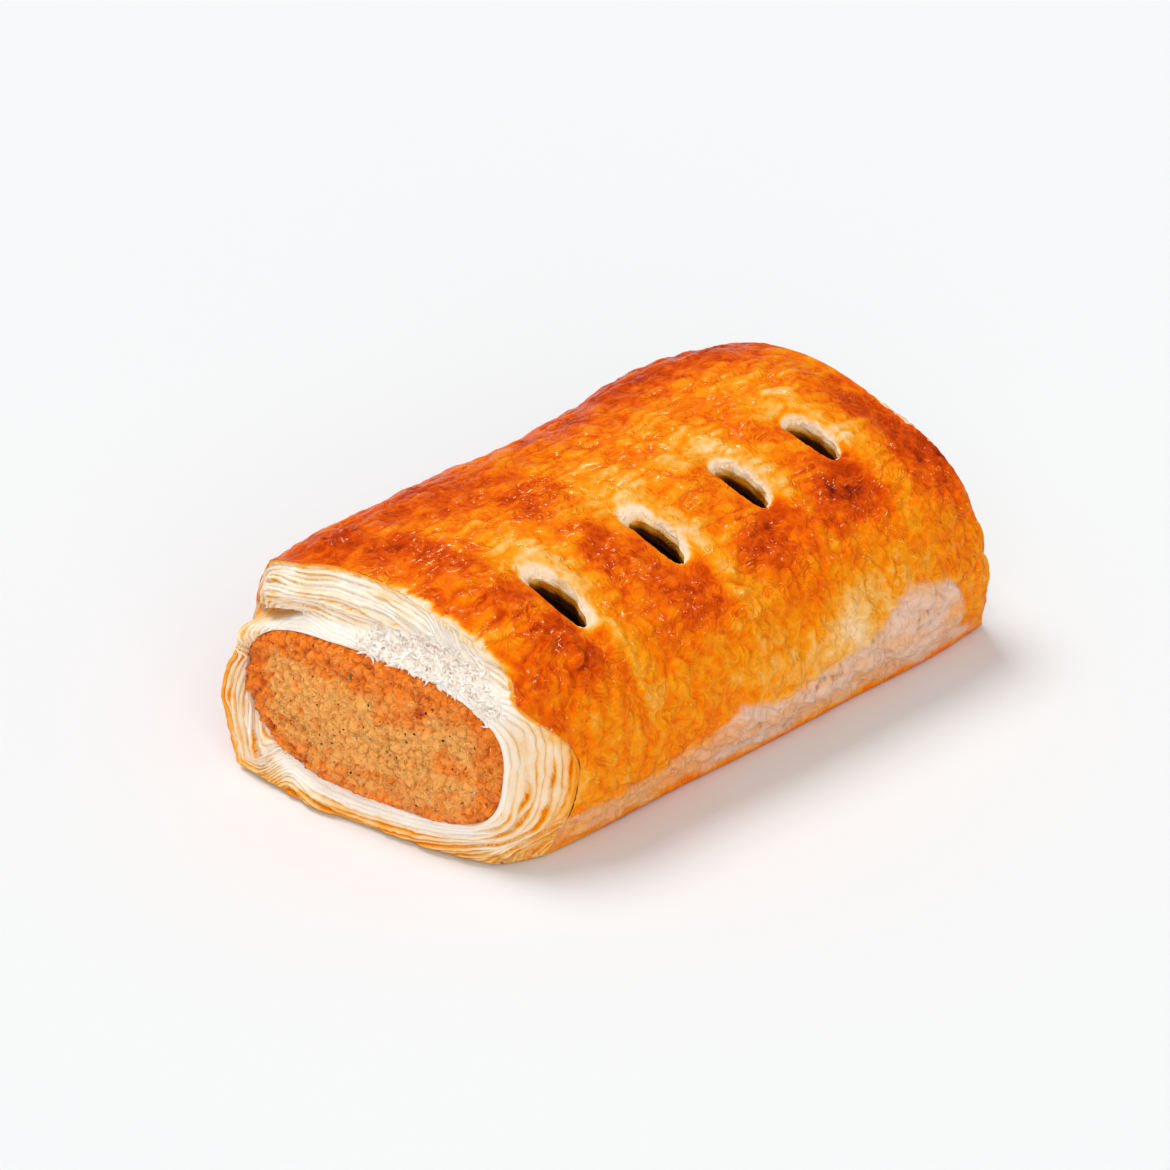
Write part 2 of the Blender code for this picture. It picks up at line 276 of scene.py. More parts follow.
@dataclass(frozen=True)
class RollForm:
    """Form of the roll, in mm: the same sections and end faces as its solid."""

    length: float = float(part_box("pastry")[1][0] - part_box("pastry")[0][0]) / MM
    heights: tuple[float, float] = (44.6, 48.5)
    height_swell: float = -0.8
    half_widths: tuple[float, float] = (35.5, 40.5)
    width_swell: float = 0.4
    droops: tuple[float, float] = (0.6, 3.0)
    droop_reaches: tuple[float, float] = (7.0, 9.0)
    waist: float = 0.37
    fold_exponents: tuple[float, float] = (2.9, 2.4)
    seam_exponents: tuple[float, float] = (1.85, 1.97)
    peak_shift: float = 0.05
    undercuts: tuple[float, float] = (0.17, 0.12)
    corner_radius: float = 2.4
    rim_proud: float = 0.7
    rim_top: float = 3.6
    end_lift: float = 0.8
    end_lift_reach: float = 3.0
    meat_half_width: float = 28.7
    meat_half_height: float = 12.8
    meat_y: float = -1.0
    meat_z: float = 19.6
    meat_exponent: float = 2.5
    meat_growth: float = 0.08
    meat_sag: float = 1.0
    meat_low_exponent: float = 3.4
    meat_heel_exponent: float = 2.3
    meat_shift: float = 0.9
    slit_half_width: float = 2.9
    slit_skew: float = math.radians(6.0)
    slit_tilt: float = math.radians(13.0)
    lip_rise: float = 1.0
    near_dip: float = 0.6
    lip_reach: float = 3.6
    hole_half_width: float = 2.3
    hole_shift: float = -0.75
    hole_back: float = -0.9
    notch_height: float = 24.0
    notch_width: float = 2.4
    notch_depth: float = 2.0
    notch_reach: float = 9.0
    hole_share: float = 0.77

    def size(self, u: np.ndarray) -> tuple[np.ndarray, np.ndarray]:
        """Height and half width at the fraction u: linear, plus a swell, less end droops."""
        at = u * self.length
        droop = self.droops[0] * bell(at, self.droop_reaches[0])
        droop = droop + self.droops[1] * bell(self.length - at, self.droop_reaches[1])
        swell = np.sin(math.pi * u)
        height = mix(*self.heights, u) + self.height_swell * swell - droop
        half = mix(*self.half_widths, u) + self.width_swell * swell - 0.5 * droop
        return height, half

    def raw_section(self, u: np.ndarray) -> tuple[np.ndarray, np.ndarray]:
        """Dense closed outline (y, z) for each u.

        The top is a superellipse about the waist, |y/a|^n + |z/b|^n = 1, with its own
        exponent on each side. The sides tuck in as t^2, turn a round corner and join
        along a flat base.
        """
        height, half = (value[:, None] for value in self.size(u))
        waist = self.waist * height
        turn = np.linspace(0.0, math.pi, 361)[None, :]
        c, s = np.cos(turn), np.maximum(np.sin(turn), 0.0)
        fold = mix(*self.fold_exponents, u)[:, None]
        seam = mix(*self.seam_exponents, u)[:, None]
        power = 2.0 / np.where(c > 0.0, fold, seam)
        across = np.sign(c) * np.abs(c) ** power
        across = self.peak_shift + across * (1.0 - np.sign(across) * self.peak_shift)
        y, z = half * across, waist + (height - waist) * s ** power
        seam_y, seam_z = self._side(waist, half, self.undercuts[1], -1.0)
        fold_y, fold_z = self._side(waist, half, self.undercuts[0], 1.0)
        t = np.linspace(0.0, 1.0, 40)[None, 1:-1]
        base_y = mix(seam_y[:, -1:], fold_y[:, -1:], t)
        y = np.concatenate([y, seam_y, base_y, fold_y[:, ::-1]], axis=1)
        z = np.concatenate([z, seam_z, np.zeros_like(base_y), fold_z[:, ::-1]], axis=1)
        return y, z

    def _side(self, waist: np.ndarray, half: np.ndarray, undercut: float,
              sign: float) -> tuple[np.ndarray, np.ndarray]:
        """One side from the waist down, and its round corner at the foot."""
        t = np.linspace(0.0, 1.0, 60)[None, 1:]
        tucked = half * (1.0 - undercut)
        z = mix(waist, self.corner_radius, t)
        rim = self.rim_proud * (1.0 - ramp(z, self.rim_top - 1.0, self.rim_top + 1.0))
        y = mix(half, tucked, t * t) + rim
        turn = np.linspace(0.0, 0.5 * math.pi, 12)[None, 1:]
        corner_y = tucked + self.rim_proud - self.corner_radius * (1.0 - np.cos(turn))
        corner_z = self.corner_radius * (1.0 - np.sin(turn)) + 0.0 * tucked
        return (sign * np.concatenate([y, corner_y], axis=1),
                np.concatenate([z, corner_z], axis=1))

    def section(self, u: np.ndarray, shares: np.ndarray) -> tuple[np.ndarray, np.ndarray]:
        """Outline at each u, at the given shares of its length round from +Y over the top."""
        raw_y, raw_z = self.raw_section(u)
        ys, zs = [], []
        for y, z in zip(raw_y, raw_z):
            y, z = np.append(y, y[0]), np.append(z, z[0])
            run = np.concatenate([[0.0], np.cumsum(np.hypot(np.diff(y), np.diff(z)))])
            ys.append(np.interp(shares * run[-1], run, y))
            zs.append(np.interp(shares * run[-1], run, z))
        return np.array(ys), np.array(zs)

    def shares(self, count: int, fold_weight: float, base_weight: float) -> np.ndarray:
        """Places round the outline, closer together where the weight is higher."""
        y, z = self.section(np.array([0.5]), np.linspace(0.0, 1.0, 2001))
        weight = np.where(y[0] > 12.0, fold_weight, 1.0)
        weight = np.where(z[0] < 0.05, base_weight, weight)
        run = np.concatenate([[0.0], np.cumsum(0.5 * (weight[1:] + weight[:-1]))])
        return np.interp(np.arange(count) / count, run / run[-1], np.linspace(0.0, 1.0, 2001))

    def slant(self, y: np.ndarray) -> np.ndarray:
        """Slant of the front cut, which runs back towards the seam side."""
        return 0.21 * np.maximum(9.0 - y, 0.0)

    def front_setback(self, y: np.ndarray, z: np.ndarray, half: np.ndarray) -> np.ndarray:
        """How far the front cut stands back: a leaning flap and a bow round the seam."""
        seam = np.maximum(-y / half, 0.0)
        dip = 9.0 * np.maximum(y / half, 0.0) ** 2
        back = 0.05 * z + 0.12 * np.maximum(z - 14.0, 0.0)
        back = back + 3.5 * ramp(z + dip, 31.0, 35.0) + 0.55 * np.maximum(z - 35.0 + dip, 0.0)
        foot = 1.0 - ramp(z, 2.0, 14.0)
        corner = (5.2 + 1.6 * foot) * (1.0 - 0.55 * ramp(z, 18.0, 38.0))
        back = back + corner * ramp(seam + 0.05 * foot, 0.80, 1.0)
        flap_end = 3.8 * ramp(z + dip, 33.0, 37.0) * ramp(y / half, 0.74, 0.93)
        forward = 3.6 + 3.5 * bell(y - 20.0, 7.0) + 1.6 * bell(y + 5.0, 8.0)
        forward = forward * ramp(z + dip, 34.0, 42.0)
        return back + flap_end - forward + self.slant(y) + 6.0 * seam ** 5.0

    def back_setback(self, y: np.ndarray, z: np.ndarray, half: np.ndarray) -> np.ndarray:
        """How far the back cut stands in: a lean and a large corner at the folded side."""
        q = y / half
        seam = 4.5 * np.maximum(-q, 0.0) ** 5.0
        return 0.18 * z + seam + 13.0 * np.maximum(q, 0.0) ** 2.2

    def meat_face(self, y: np.ndarray, z: np.ndarray) -> np.ndarray:
        """Setback of the cut meat at the front."""
        return 0.4 + 0.12 * z + 0.80 * self.slant(y)

    def meat_middle(self, end: End) -> float:
        """Middle of the meat across the roll: nearer the folded side at the front."""
        return self.meat_y + (self.meat_shift if end is End.FRONT else 0.0)

    def meat_grow(self, end: End) -> float:
        """Growth of the meat's outline at one end."""
        return 1.0 if end is End.FRONT else 1.0 + self.meat_growth

    def meat_power(self, across: np.ndarray, up: np.ndarray) -> np.ndarray:
        """Exponent of the meat's outline: square below, but round at the folded side."""
        low = np.where(across > 0.0, self.meat_heel_exponent, self.meat_low_exponent)
        return np.where(up < 0.0, low, self.meat_exponent)

    def meat_outline(self, y: np.ndarray, z: np.ndarray, gap: float,
                     end: End) -> tuple[np.ndarray, np.ndarray]:
        """Points of the meat's outline in the directions of (y, z) from its middle.

        A superellipse |y/a|^n + |z/b|^n = 1, deeper and squarer below its middle.
        """
        middle, grow = self.meat_middle(end), self.meat_grow(end)
        dy, dz = y - middle, z - self.meat_z
        low = dz < 0.0
        n = self.meat_power(dy, dz)
        tall = self.meat_half_height + np.where(low, self.meat_sag, 0.0)
        reach = (np.abs(dy) / (grow * (self.meat_half_width + gap))) ** n
        reach = reach + (np.abs(dz) / (grow * (tall + gap))) ** n
        shrink = np.maximum(reach, 1e-9) ** (-1.0 / n)
        return middle + dy * shrink, self.meat_z + dz * shrink

    def notch(self, p: np.ndarray, front: np.ndarray) -> np.ndarray:
        """Groove under the flap's end: a bell across it that fades along the roll."""
        fade = 1.0 - ramp(front, 0.0, self.notch_reach)
        height = self.notch_height + 0.15 * front
        return bell(p[..., 2] - height, self.notch_width) * fade * ramp(p[..., 1], 26.0, 31.0)

    def slits(self) -> list[Slit]:
        """The slits from the front one: each pitch is a little shorter than the last."""
        return [Slit(-30.8 + i * (27.1 - 1.45 * i), -16.4 + 0.9 * i, 8.0 - 0.15 * i)
                for i in range(4)]

    def slit_place(self, p: np.ndarray, slit: Slit) -> tuple[np.ndarray, np.ndarray]:
        """Place of points across and along a slit, in mm."""
        along = p[..., 1] - slit.y
        return (p[..., 0] - slit.x) + math.tan(self.slit_skew) * along, along

    def slit_radius(self, p: np.ndarray, slit: Slit) -> np.ndarray:
        """Oval radius about a slit's hole in plan: 1 at the edge of the hole."""
        across, along = self.slit_place(p, slit)
        return np.hypot((across - self.hole_shift) / self.hole_half_width,
                        (along - self.hole_back) / (slit.half_length * self.hole_share))

    def slit_radius_min(self, p: np.ndarray) -> np.ndarray:
        """Oval radius about the nearest slit."""
        return np.minimum.reduce([self.slit_radius(p, slit) for slit in self.slits()])

    def puff(self, p: np.ndarray) -> np.ndarray:
        """Puffed lip on the far side of each slit, and a dip on the near side: bells."""
        rise = np.zeros(p.shape[:-1])
        for slit in self.slits():
            across = self.slit_place(p, slit)[0]
            beyond = np.maximum(self.slit_radius(p, slit) - 1.0, 0.0) * self.hole_half_width
            height = mix(-self.near_dip, self.lip_rise, ramp(across, -2.0, 3.0))
            rise += height * bell(beyond, self.lip_reach)
        return rise * ramp(p[..., 2], 23.0, 27.0)

    def shoulder(self, p: np.ndarray) -> np.ndarray:
        """Fall of the skin into the slits.

        A quarter circle R - sqrt(R^2 - (R - b)^2) of the distance b from the hole. R is
        large on the far side and at the folded end, and small on the near side.
        """
        drop = np.zeros(p.shape[:-1])
        for slit in self.slits():
            across, along = self.slit_place(p, slit)
            beyond = (self.slit_radius(p, slit) - 1.0) * self.hole_half_width
            far = ramp(across, -1.0, 1.8)
            reach = slit.half_length * self.hole_share
            end = ramp((along - self.hole_back) / reach, 0.30, 1.0)
            tip = ramp((self.hole_back - along) / reach, 0.35, 1.0)
            radius = 0.35 + 1.0 * far + 1.7 * end * (1.0 - 0.5 * far) \
                + 0.55 * tip * (1.0 - 0.3 * far)
            into = np.clip(radius - beyond, 0.0, radius)
            fall = radius - np.sqrt(np.maximum(radius ** 2 - into ** 2, 0.0))
            drop = np.maximum(drop, fall + 1.2 * np.clip(-beyond, 0.0, 2.0))
        return drop * ramp(p[..., 2], 23.0, 27.0)

    def top_height(self, p: np.ndarray) -> np.ndarray:
        """Height of the smooth top over the plan place of points: the section's formula."""
        u = np.clip(p[..., 0] / self.length + 0.5, 0.0, 1.0)
        height, half = self.size(u)
        across = p[..., 1] / half - self.peak_shift
        sign = np.sign(across)
        across = np.clip(np.abs(across) / (1.0 - sign * self.peak_shift), 0.0, 0.999)
        n = np.where(sign > 0.0, mix(*self.fold_exponents, u), mix(*self.seam_exponents, u))
        waist = self.waist * height
        return waist + (height - waist) * (1.0 - across ** n) ** (1.0 / n)

    def skin(self, u: np.ndarray, shares: np.ndarray) -> np.ndarray:
        """Smooth outer skin, shape (stations, places, 3)."""
        y, z = self.section(u, shares)
        half = self.size(u)[1][:, None]
        along = u[:, None]
        front, back = self.front_setback(y, z, half), self.back_setback(y, z, half)
        x = self.length * (along - 0.5) + (1.0 - along) ** 2 * front - along ** 2 * back
        at = along * self.length
        lift = bell(at, self.end_lift_reach) + bell(self.length - at, self.end_lift_reach)
        p = np.stack([x, y, np.maximum(z, self.end_lift * lift)], axis=-1)
        p[..., 2] += self.puff(p) - self.shoulder(p)
        out = p[..., 1:] - np.array([0.0, 18.0])
        out = out / np.maximum(np.linalg.norm(out, axis=-1, keepdims=True), 1e-6)
        for swell in SWELLS:
            away = np.linalg.norm(p - np.array([swell.x, swell.y, swell.z]), axis=-1)
            p[..., 1:] += swell.height * out * bell(away, swell.reach)[..., None]
        front = p[..., 0] - p[:1, :, 0] if len(u) > 1 else 0.0 * p[..., 0]
        p[..., 1:] -= self.notch_depth * out * self.notch(p, front)[..., None]
        return p


# ---------------------------------------------------------------- browning


@dataclass(frozen=True)
class Patch:
    """A patch of deeper browning: place and reach in mm, and how much browner it is."""

    x: float
    y: float
    z: float
    reach: float
    depth: float
    blister: float = 0.0


PATCHES = (
    Patch(-48.0, 18.0, 43.0, 7.0, 0.20, 0.5),
    Patch(-46.5, 9.0, 44.0, 6.0, 0.20, 0.5),
    Patch(-43.5, -2.0, 44.0, 8.0, 0.12, 0.3),
    Patch(-41.0, -14.0, 41.0, 7.0, 0.10, 0.3),
    Patch(-15.0, 4.0, 45.0, 7.0, 0.16, 0.4),
    Patch(-38.0, -23.0, 37.0, 5.0, 0.30, 1.0),
    Patch(-37.0, -27.5, 34.0, 4.5, 0.26, 1.0),
    Patch(-45.0, -26.0, 33.0, 6.0, 0.12, 0.4),
    Patch(-18.5, -14.0, 42.0, 6.0, 0.14, 0.3),
    Patch(-12.5, -19.0, 40.5, 5.0, 0.13, 0.4),
    Patch(-7.0, -28.0, 36.0, 6.0, 0.18, 0.6),
    Patch(10.5, -27.0, 36.5, 6.0, 0.17, 0.5),
    Patch(18.5, -25.0, 39.5, 5.0, 0.13, 0.3),
    Patch(34.5, -26.5, 39.0, 7.0, 0.26, 0.4),
    Patch(24.0, -30.0, 36.0, 6.0, 0.16, 0.4),
    Patch(57.0, -26.0, 37.5, 8.0, 0.22, 0.5),
    Patch(56.0, -19.0, 41.5, 8.0, 0.17, 0.2),
    Patch(52.5, -12.0, 44.5, 8.0, 0.14, 0.1),
    Patch(8.0, 21.0, 44.0, 10.0, 0.10, 0.1),
    Patch(28.0, 25.0, 43.0, 10.0, 0.12, 0.1),
    Patch(45.0, 22.0, 44.0, 9.0, 0.14, 0.1),
    Patch(-25.0, 20.0, 43.0, 9.0, 0.12, 0.2),
)


@dataclass(frozen=True)
class Browning:
    """How brown, glossy and bare the crust is, and where shade and highlight are painted on it, worked
    out from places on the roll.
    """

    form: RollForm
    gold: float = 0.575
    strip_tops: tuple[tuple[float, float], ...] = (
        (-66.0, 4.0), (-42.0, 8.5), (-24.0, 9.0), (-12.0, 12.5), (-7.0, 15.5), (2.0, 11.5),
        (12.0, 13.0), (20.0, 13.8), (27.0, 16.5), (32.0, 20.0), (36.0, 23.0), (41.0, 22.5),
        (48.0, 19.0), (52.0, 13.0), (55.0, 4.0), (66.0, 2.0))

    def patches(self, p: np.ndarray, key: str) -> np.ndarray:
        """Largest of the patches' bells, with ragged edges."""
        warp = 0.45 * rough(p, 5.0, 3, 40)
        total = np.zeros(p.shape[:-1])
        for patch in PATCHES:
            away = np.linalg.norm(p - np.array([patch.x, patch.y, patch.z]), axis=-1)
            shape = bell(away / patch.reach + warp, 1.0)
            total = np.maximum(total, shape * getattr(patch, key))
        return total

    def strip(self, p: np.ndarray) -> np.ndarray:
        """1 on the strip that the glaze missed, low on the seam side."""
        xs, zs = zip(*self.strip_tops)
        top = np.interp(p[..., 0], xs, zs) + 2.2 * rough(p, 5.5, 4, 60)
        inside = ramp(top - p[..., 2], -1.3, 1.5)
        inside = inside * ramp(p[..., 2] + rough(p, 5.0, 2, 61), 1.2, 3.2)
        return inside * ramp(-p[..., 1], 20.0, 26.0)

    def paleness(self, p: np.ndarray) -> np.ndarray:
        """How far the glaze thins out down the seam side."""
        low = ramp(34.0 - p[..., 2], 0.0, 18.0) * ramp(-p[..., 1], 22.0, 34.0)
        spot = bell(np.hypot(p[..., 0] - 20.0, p[..., 2] - 21.0), 17.0)
        return low * (0.22 + 0.78 * spot) * (0.8 + 0.25 * rough(p, 4.0, 3, 64))

    def slit_depth(self, p: np.ndarray) -> np.ndarray:
        """Depth under the smooth top, in mm, of points in and beside the slits."""
        near = np.zeros(p.shape[:-1])
        for slit in self.form.slits():
            near = np.maximum(near, 1.0 - ramp(self.form.slit_radius(p, slit), 1.9, 2.5))
        top = self.form.top_height(p) + self.form.puff(p)
        return near * np.maximum(top - p[..., 2], 0.0)

    def from_edge(self, p: np.ndarray) -> np.ndarray:
        """Distance along the roll from the open end's cut, in mm."""
        half = self.form.size(np.clip(p[..., 0] / self.form.length + 0.5, 0.0, 1.0))[1]
        return p[..., 0] + 0.5 * self.form.length - self.form.front_setback(
            p[..., 1], p[..., 2], half)

    def bake(self, p: np.ndarray) -> np.ndarray:
        """Browning from 0, white dough, to 1, burnt, with painted highlight on the slits' far lips and
        the crests, and painted shade in the creases and down the slit walls.
        """
        streak = p * np.array([0.45, 1.0, 1.0])
        tone = self.gold + 0.08 * rough(p, 13.0, 2, 11) + 0.05 * rough(streak, 3.2, 3, 15)
        tone = tone + 1.45 * self.patches(p, "depth") * (1.0 + 1.3 * rough(p, 3.4, 3, 16))
        # Painted shade and highlight: browner in the creases between the puffed cells, paler on their
        # crests.
        tone = tone + 0.21 * (0.42 - self.wrinkle(p)) * (1.0 - 0.5 * ramp(np.abs(p[..., 1]), 22.0, 32.0))
        # Painted highlight: lighter gold round the raised far lip of each slit.
        tone = tone - 0.25 * self.painted_lip_highlight(p) * (1.0 + 0.2 * rough(p, 2.5, 2, 37))
        rim = ramp(p[..., 1], 12.0, 27.0) * ramp(p[..., 2], 30.0, 40.0)
        tone = tone + 0.06 * rim * (1.0 + rough(p, 5.0, 2, 17))
        tone = tone - 0.01 * ramp(-p[..., 1], 24.0, 32.0) - 0.34 * self.paleness(p)
        edge = self.from_edge(p) + 1.2 * rough(p, 2.5, 3, 18)
        torn = (1.0 - ramp(edge, 0.2, 2.4)) * ramp(4.0 - p[..., 1], 0.0, 9.0) \
            * ramp(p[..., 1] + 27.0, 0.0, 7.0) * ramp(p[..., 2], 30.0, 36.0)
        tone = mix(tone, 0.16, torn)
        low = 1.0 - ramp(p[..., 2] + 0.5 * rough(p, 3.0, 2, 20), 0.8, 2.4)
        foot = mix(0.34, 0.56, ramp(self.from_edge(p), 6.0, 22.0))
        tone = mix(tone, foot + 0.10 * rough(p, 4.0, 2, 24), low)
        tone = mix(tone, 0.40, 0.8 * self.strip(p))
        tone = mix(tone, 0.30 + 0.06 * rough(p, 2.0, 2, 34), self.in_notch(p))
        depth = self.ragged_depth(p)
        # Slit walls: pale cream, the pastry's own inside, turning browner with depth as painted shade
        # down the hole.
        wall = 0.17 + 0.05 * rough(p, 1.6, 2, 26) + 0.30 * ramp(depth, 1.7, 3.8)
        tone = tone - 0.55 * np.maximum(tone - 0.70, 0.0)
        lip = ramp(self.slit_depth(p) + 0.05 * rough(p, 1.6, 2, 19), 0.50, 1.15)
        return np.clip(mix(tone, wall, lip), 0.0, 1.0)

    def shade(self, p: np.ndarray) -> np.ndarray:
        """Painted shade down the walls of the slits, and in the pits of the bare strip."""
        depth = self.ragged_depth(p)
        pits = self.strip(p) * self.pits(p)
        return np.clip(np.maximum(ramp(depth, 2.3, 4.8), 0.60 * pits), 0.0, 1.0)

    def pits(self, p: np.ndarray) -> np.ndarray:
        """Small holes in loose rows, from 0 to 1."""
        rows = ramp(rough(p, 6.0, 2, 38), 0.0, 0.3)
        return rows * bell(cells(p * np.array([1.0, 1.0, 0.7]), 1.7, 39)[0], 0.26)

    def ragged_depth(self, p: np.ndarray) -> np.ndarray:
        """Depth in the slits with layered, uneven lines, in mm."""
        flat = p * np.array([0.35, 0.35, 1.0])
        return self.slit_depth(p) + 0.30 * rough(p, 1.6, 2, 19) + 0.35 * rough(flat, 0.9, 2, 36)

    def painted_lip_highlight(self, p: np.ndarray) -> np.ndarray:
        """Painted highlight: lighter gold on the raised far lip and the folded end of each slit."""
        total = np.zeros(p.shape[:-1])
        for slit in self.form.slits():
            across, along = self.form.slit_place(p, slit)
            beyond = np.maximum(self.form.slit_radius(p, slit) - 1.0, 0.0) \
                * self.form.hole_half_width
            side = np.maximum(ramp(across, -0.5, 3.0), 0.7 * ramp(along, 4.0, 8.0))
            total = np.maximum(total, side * bell(beyond, 5.4))
        return total

    def in_notch(self, p: np.ndarray) -> np.ndarray:
        """1 in the groove under the flap's end."""
        front = np.maximum(self.from_edge(p), 0.0)
        groove = self.form.notch(p + 0.5 * rough(p, 2.0, 2, 41)[..., None], front)
        return ramp(groove, 0.25, 0.6)

    def bare(self, p: np.ndarray) -> np.ndarray:
        """Pale pinkish dough on the unglazed strip, tanner towards the open end."""
        patchy = 0.82 + 0.90 * rough(p * np.array([0.5, 1.0, 1.0]), 3.6, 3, 66)
        strip = self.strip(p) * mix(0.40, 1.0, ramp(p[..., 0], -22.0, 4.0)) * patchy
        return np.clip(strip, 0.0, 1.0)

    def glaze(self, p: np.ndarray) -> np.ndarray:
        """Egg glaze from 0, matte, to 1, glossy."""
        gloss = 0.55 + 1.6 * self.patches(p, "depth") - 0.4 * self.paleness(p)
        gloss = gloss - 0.8 * self.strip(p)
        gloss = gloss * (1.0 - 0.7 * ramp(self.slit_depth(p), 0.5, 2.0))
        return np.clip(gloss * ramp(p[..., 2], 0.5, 4.0), 0.0, 1.0)

    def wrinkle(self, p: np.ndarray) -> np.ndarray:
        """Puffed cells |noise|^0.7: 0 in the creases between them.

        The cells are long along the roll on the top, and long round it on the sides.
        """
        bent = p + 1.2 * np.stack([rough(p, 3.8, 2, s) for s in (22, 23, 24)], axis=-1)
        top = np.abs(noise(bent * np.array([0.50, 1.10, 1.10]), 2.3, 25)) ** 0.7
        side = np.abs(noise(bent * np.array([1.10, 0.55, 0.55]), 2.3, 29)) ** 0.7
        steep = ramp(np.abs(p[..., 1]) + 0.5 * (44.0 - p[..., 2]), 26.0, 34.0)
        return mix(top, side, steep)

    def relief(self, p: np.ndarray) -> np.ndarray:
        """Height of the crust over its smooth skin, in mm.

        Broad swells, puffed cells with creases between, blisters in the patches, and low scales
        bounded by cell edges on the side. The slits' shoulders stay smooth.
        """
        side = ramp(np.abs(p[..., 1]), 21.0, 31.0) * ramp(p[..., 2], 3.0, 8.0)
        side = side * np.where(p[..., 1] > 0.0, 1.0 - ramp(p[..., 2], 26.0, 36.0), 1.0)
        swell = 0.60 * rough(p, 17.0, 2, 21) + 0.45 * rough(p, 6.0, 2, 28)
        bent = p + 1.1 * np.stack([rough(p, 3.5, 2, s) for s in (22, 23, 24)], axis=-1)
        wrinkle = self.wrinkle(p)
        near, far = cells(bent * np.array([1.0, 1.0, 0.7]), 3.2, 27)
        scale = ramp(far - near, 0.0, 0.35)
        blister = self.patches(p, "blister")
        bumps = 2.2 * np.sqrt(np.maximum(0.30 - cells(bent, 2.2, 33)[0] ** 2, 0.0))
        away = np.ones(p.shape[:-1])
        for slit in self.form.slits():
            beyond = (self.form.slit_radius(p, slit) - 1.0) * self.form.hole_half_width
            away = away * ramp(beyond, 0.6, 5.0)
        lean = p @ np.array([[0.35, 0.0, 0.6], [0.0, 1.0, 0.0], [-0.6, 0.0, 1.0]])
        fibre = (rough(lean * np.array([0.3, 1.0, 1.0]), 1.6, 2, 35) - self.pits(p)) * self.strip(p)
        height = 0.56 * wrinkle + 0.62 * scale * side + 0.85 * fibre
        height = (height + bumps * blister) * (0.15 + 0.85 * away)
        return (swell * (0.3 + 0.7 * away) + height - 0.3) * ramp(p[..., 2], 0.3, 2.5)


# ---------------------------------------------------------------- finishes


def add_group(name: str, inputs: dict[str, float], outputs: dict[str, str]
              ) -> tuple[bpy.types.NodeTree, bpy.types.Node, bpy.types.Node]:
    """Empty shader group with number inputs and the given output types."""
    tree = bpy.data.node_groups.new(name, "ShaderNodeTree")
    tree.interface.new_socket("Vector", in_out="INPUT", socket_type="NodeSocketVector")
    for key, value in inputs.items():
        socket = tree.interface.new_socket(key, in_out="INPUT", socket_type="NodeSocketFloat")
        socket.default_value = value
    for key, kind in outputs.items():
        tree.interface.new_socket(key, in_out="OUTPUT", socket_type=kind)
    return tree, tree.nodes.new("NodeGroupInput"), tree.nodes.new("NodeGroupOutput")


def math_node(tree: bpy.types.NodeTree, kind: str, a: object, b: object = 0.0,
              clamp: bool = False) -> bpy.types.NodeSocket:
    """One Math node; each input is a socket or a number."""
    node = tree.nodes.new("ShaderNodeMath")
    node.operation = kind
    node.use_clamp = clamp
    for socket, value in zip(node.inputs, (a, b)):
        if isinstance(value, bpy.types.NodeSocket):
            tree.links.new(value, socket)
        else:
            socket.default_value = value
    return node.outputs[0]


def noise_node(tree: bpy.types.NodeTree, vector: bpy.types.NodeSocket, scale: float,
               detail: float, distortion: float = 0.0) -> bpy.types.NodeSocket:
    """Noise Texture with its pattern size given as cells per metre."""
    node = tree.nodes.new("ShaderNodeTexNoise")
    node.inputs["Scale"].default_value = scale
    node.inputs["Detail"].default_value = detail
    node.inputs["Distortion"].default_value = distortion
    tree.links.new(vector, node.inputs["Vector"])
    return node.outputs["Fac"]


def cell_node(tree: bpy.types.NodeTree, vector: bpy.types.NodeSocket, scale: float,
              feature: str) -> bpy.types.NodeSocket:
    """Voronoi Texture distance, in cells per metre."""
    node = tree.nodes.new("ShaderNodeTexVoronoi")
    node.feature = feature
    node.inputs["Scale"].default_value = scale
    tree.links.new(vector, node.inputs["Vector"])
    return node.outputs["Distance"]


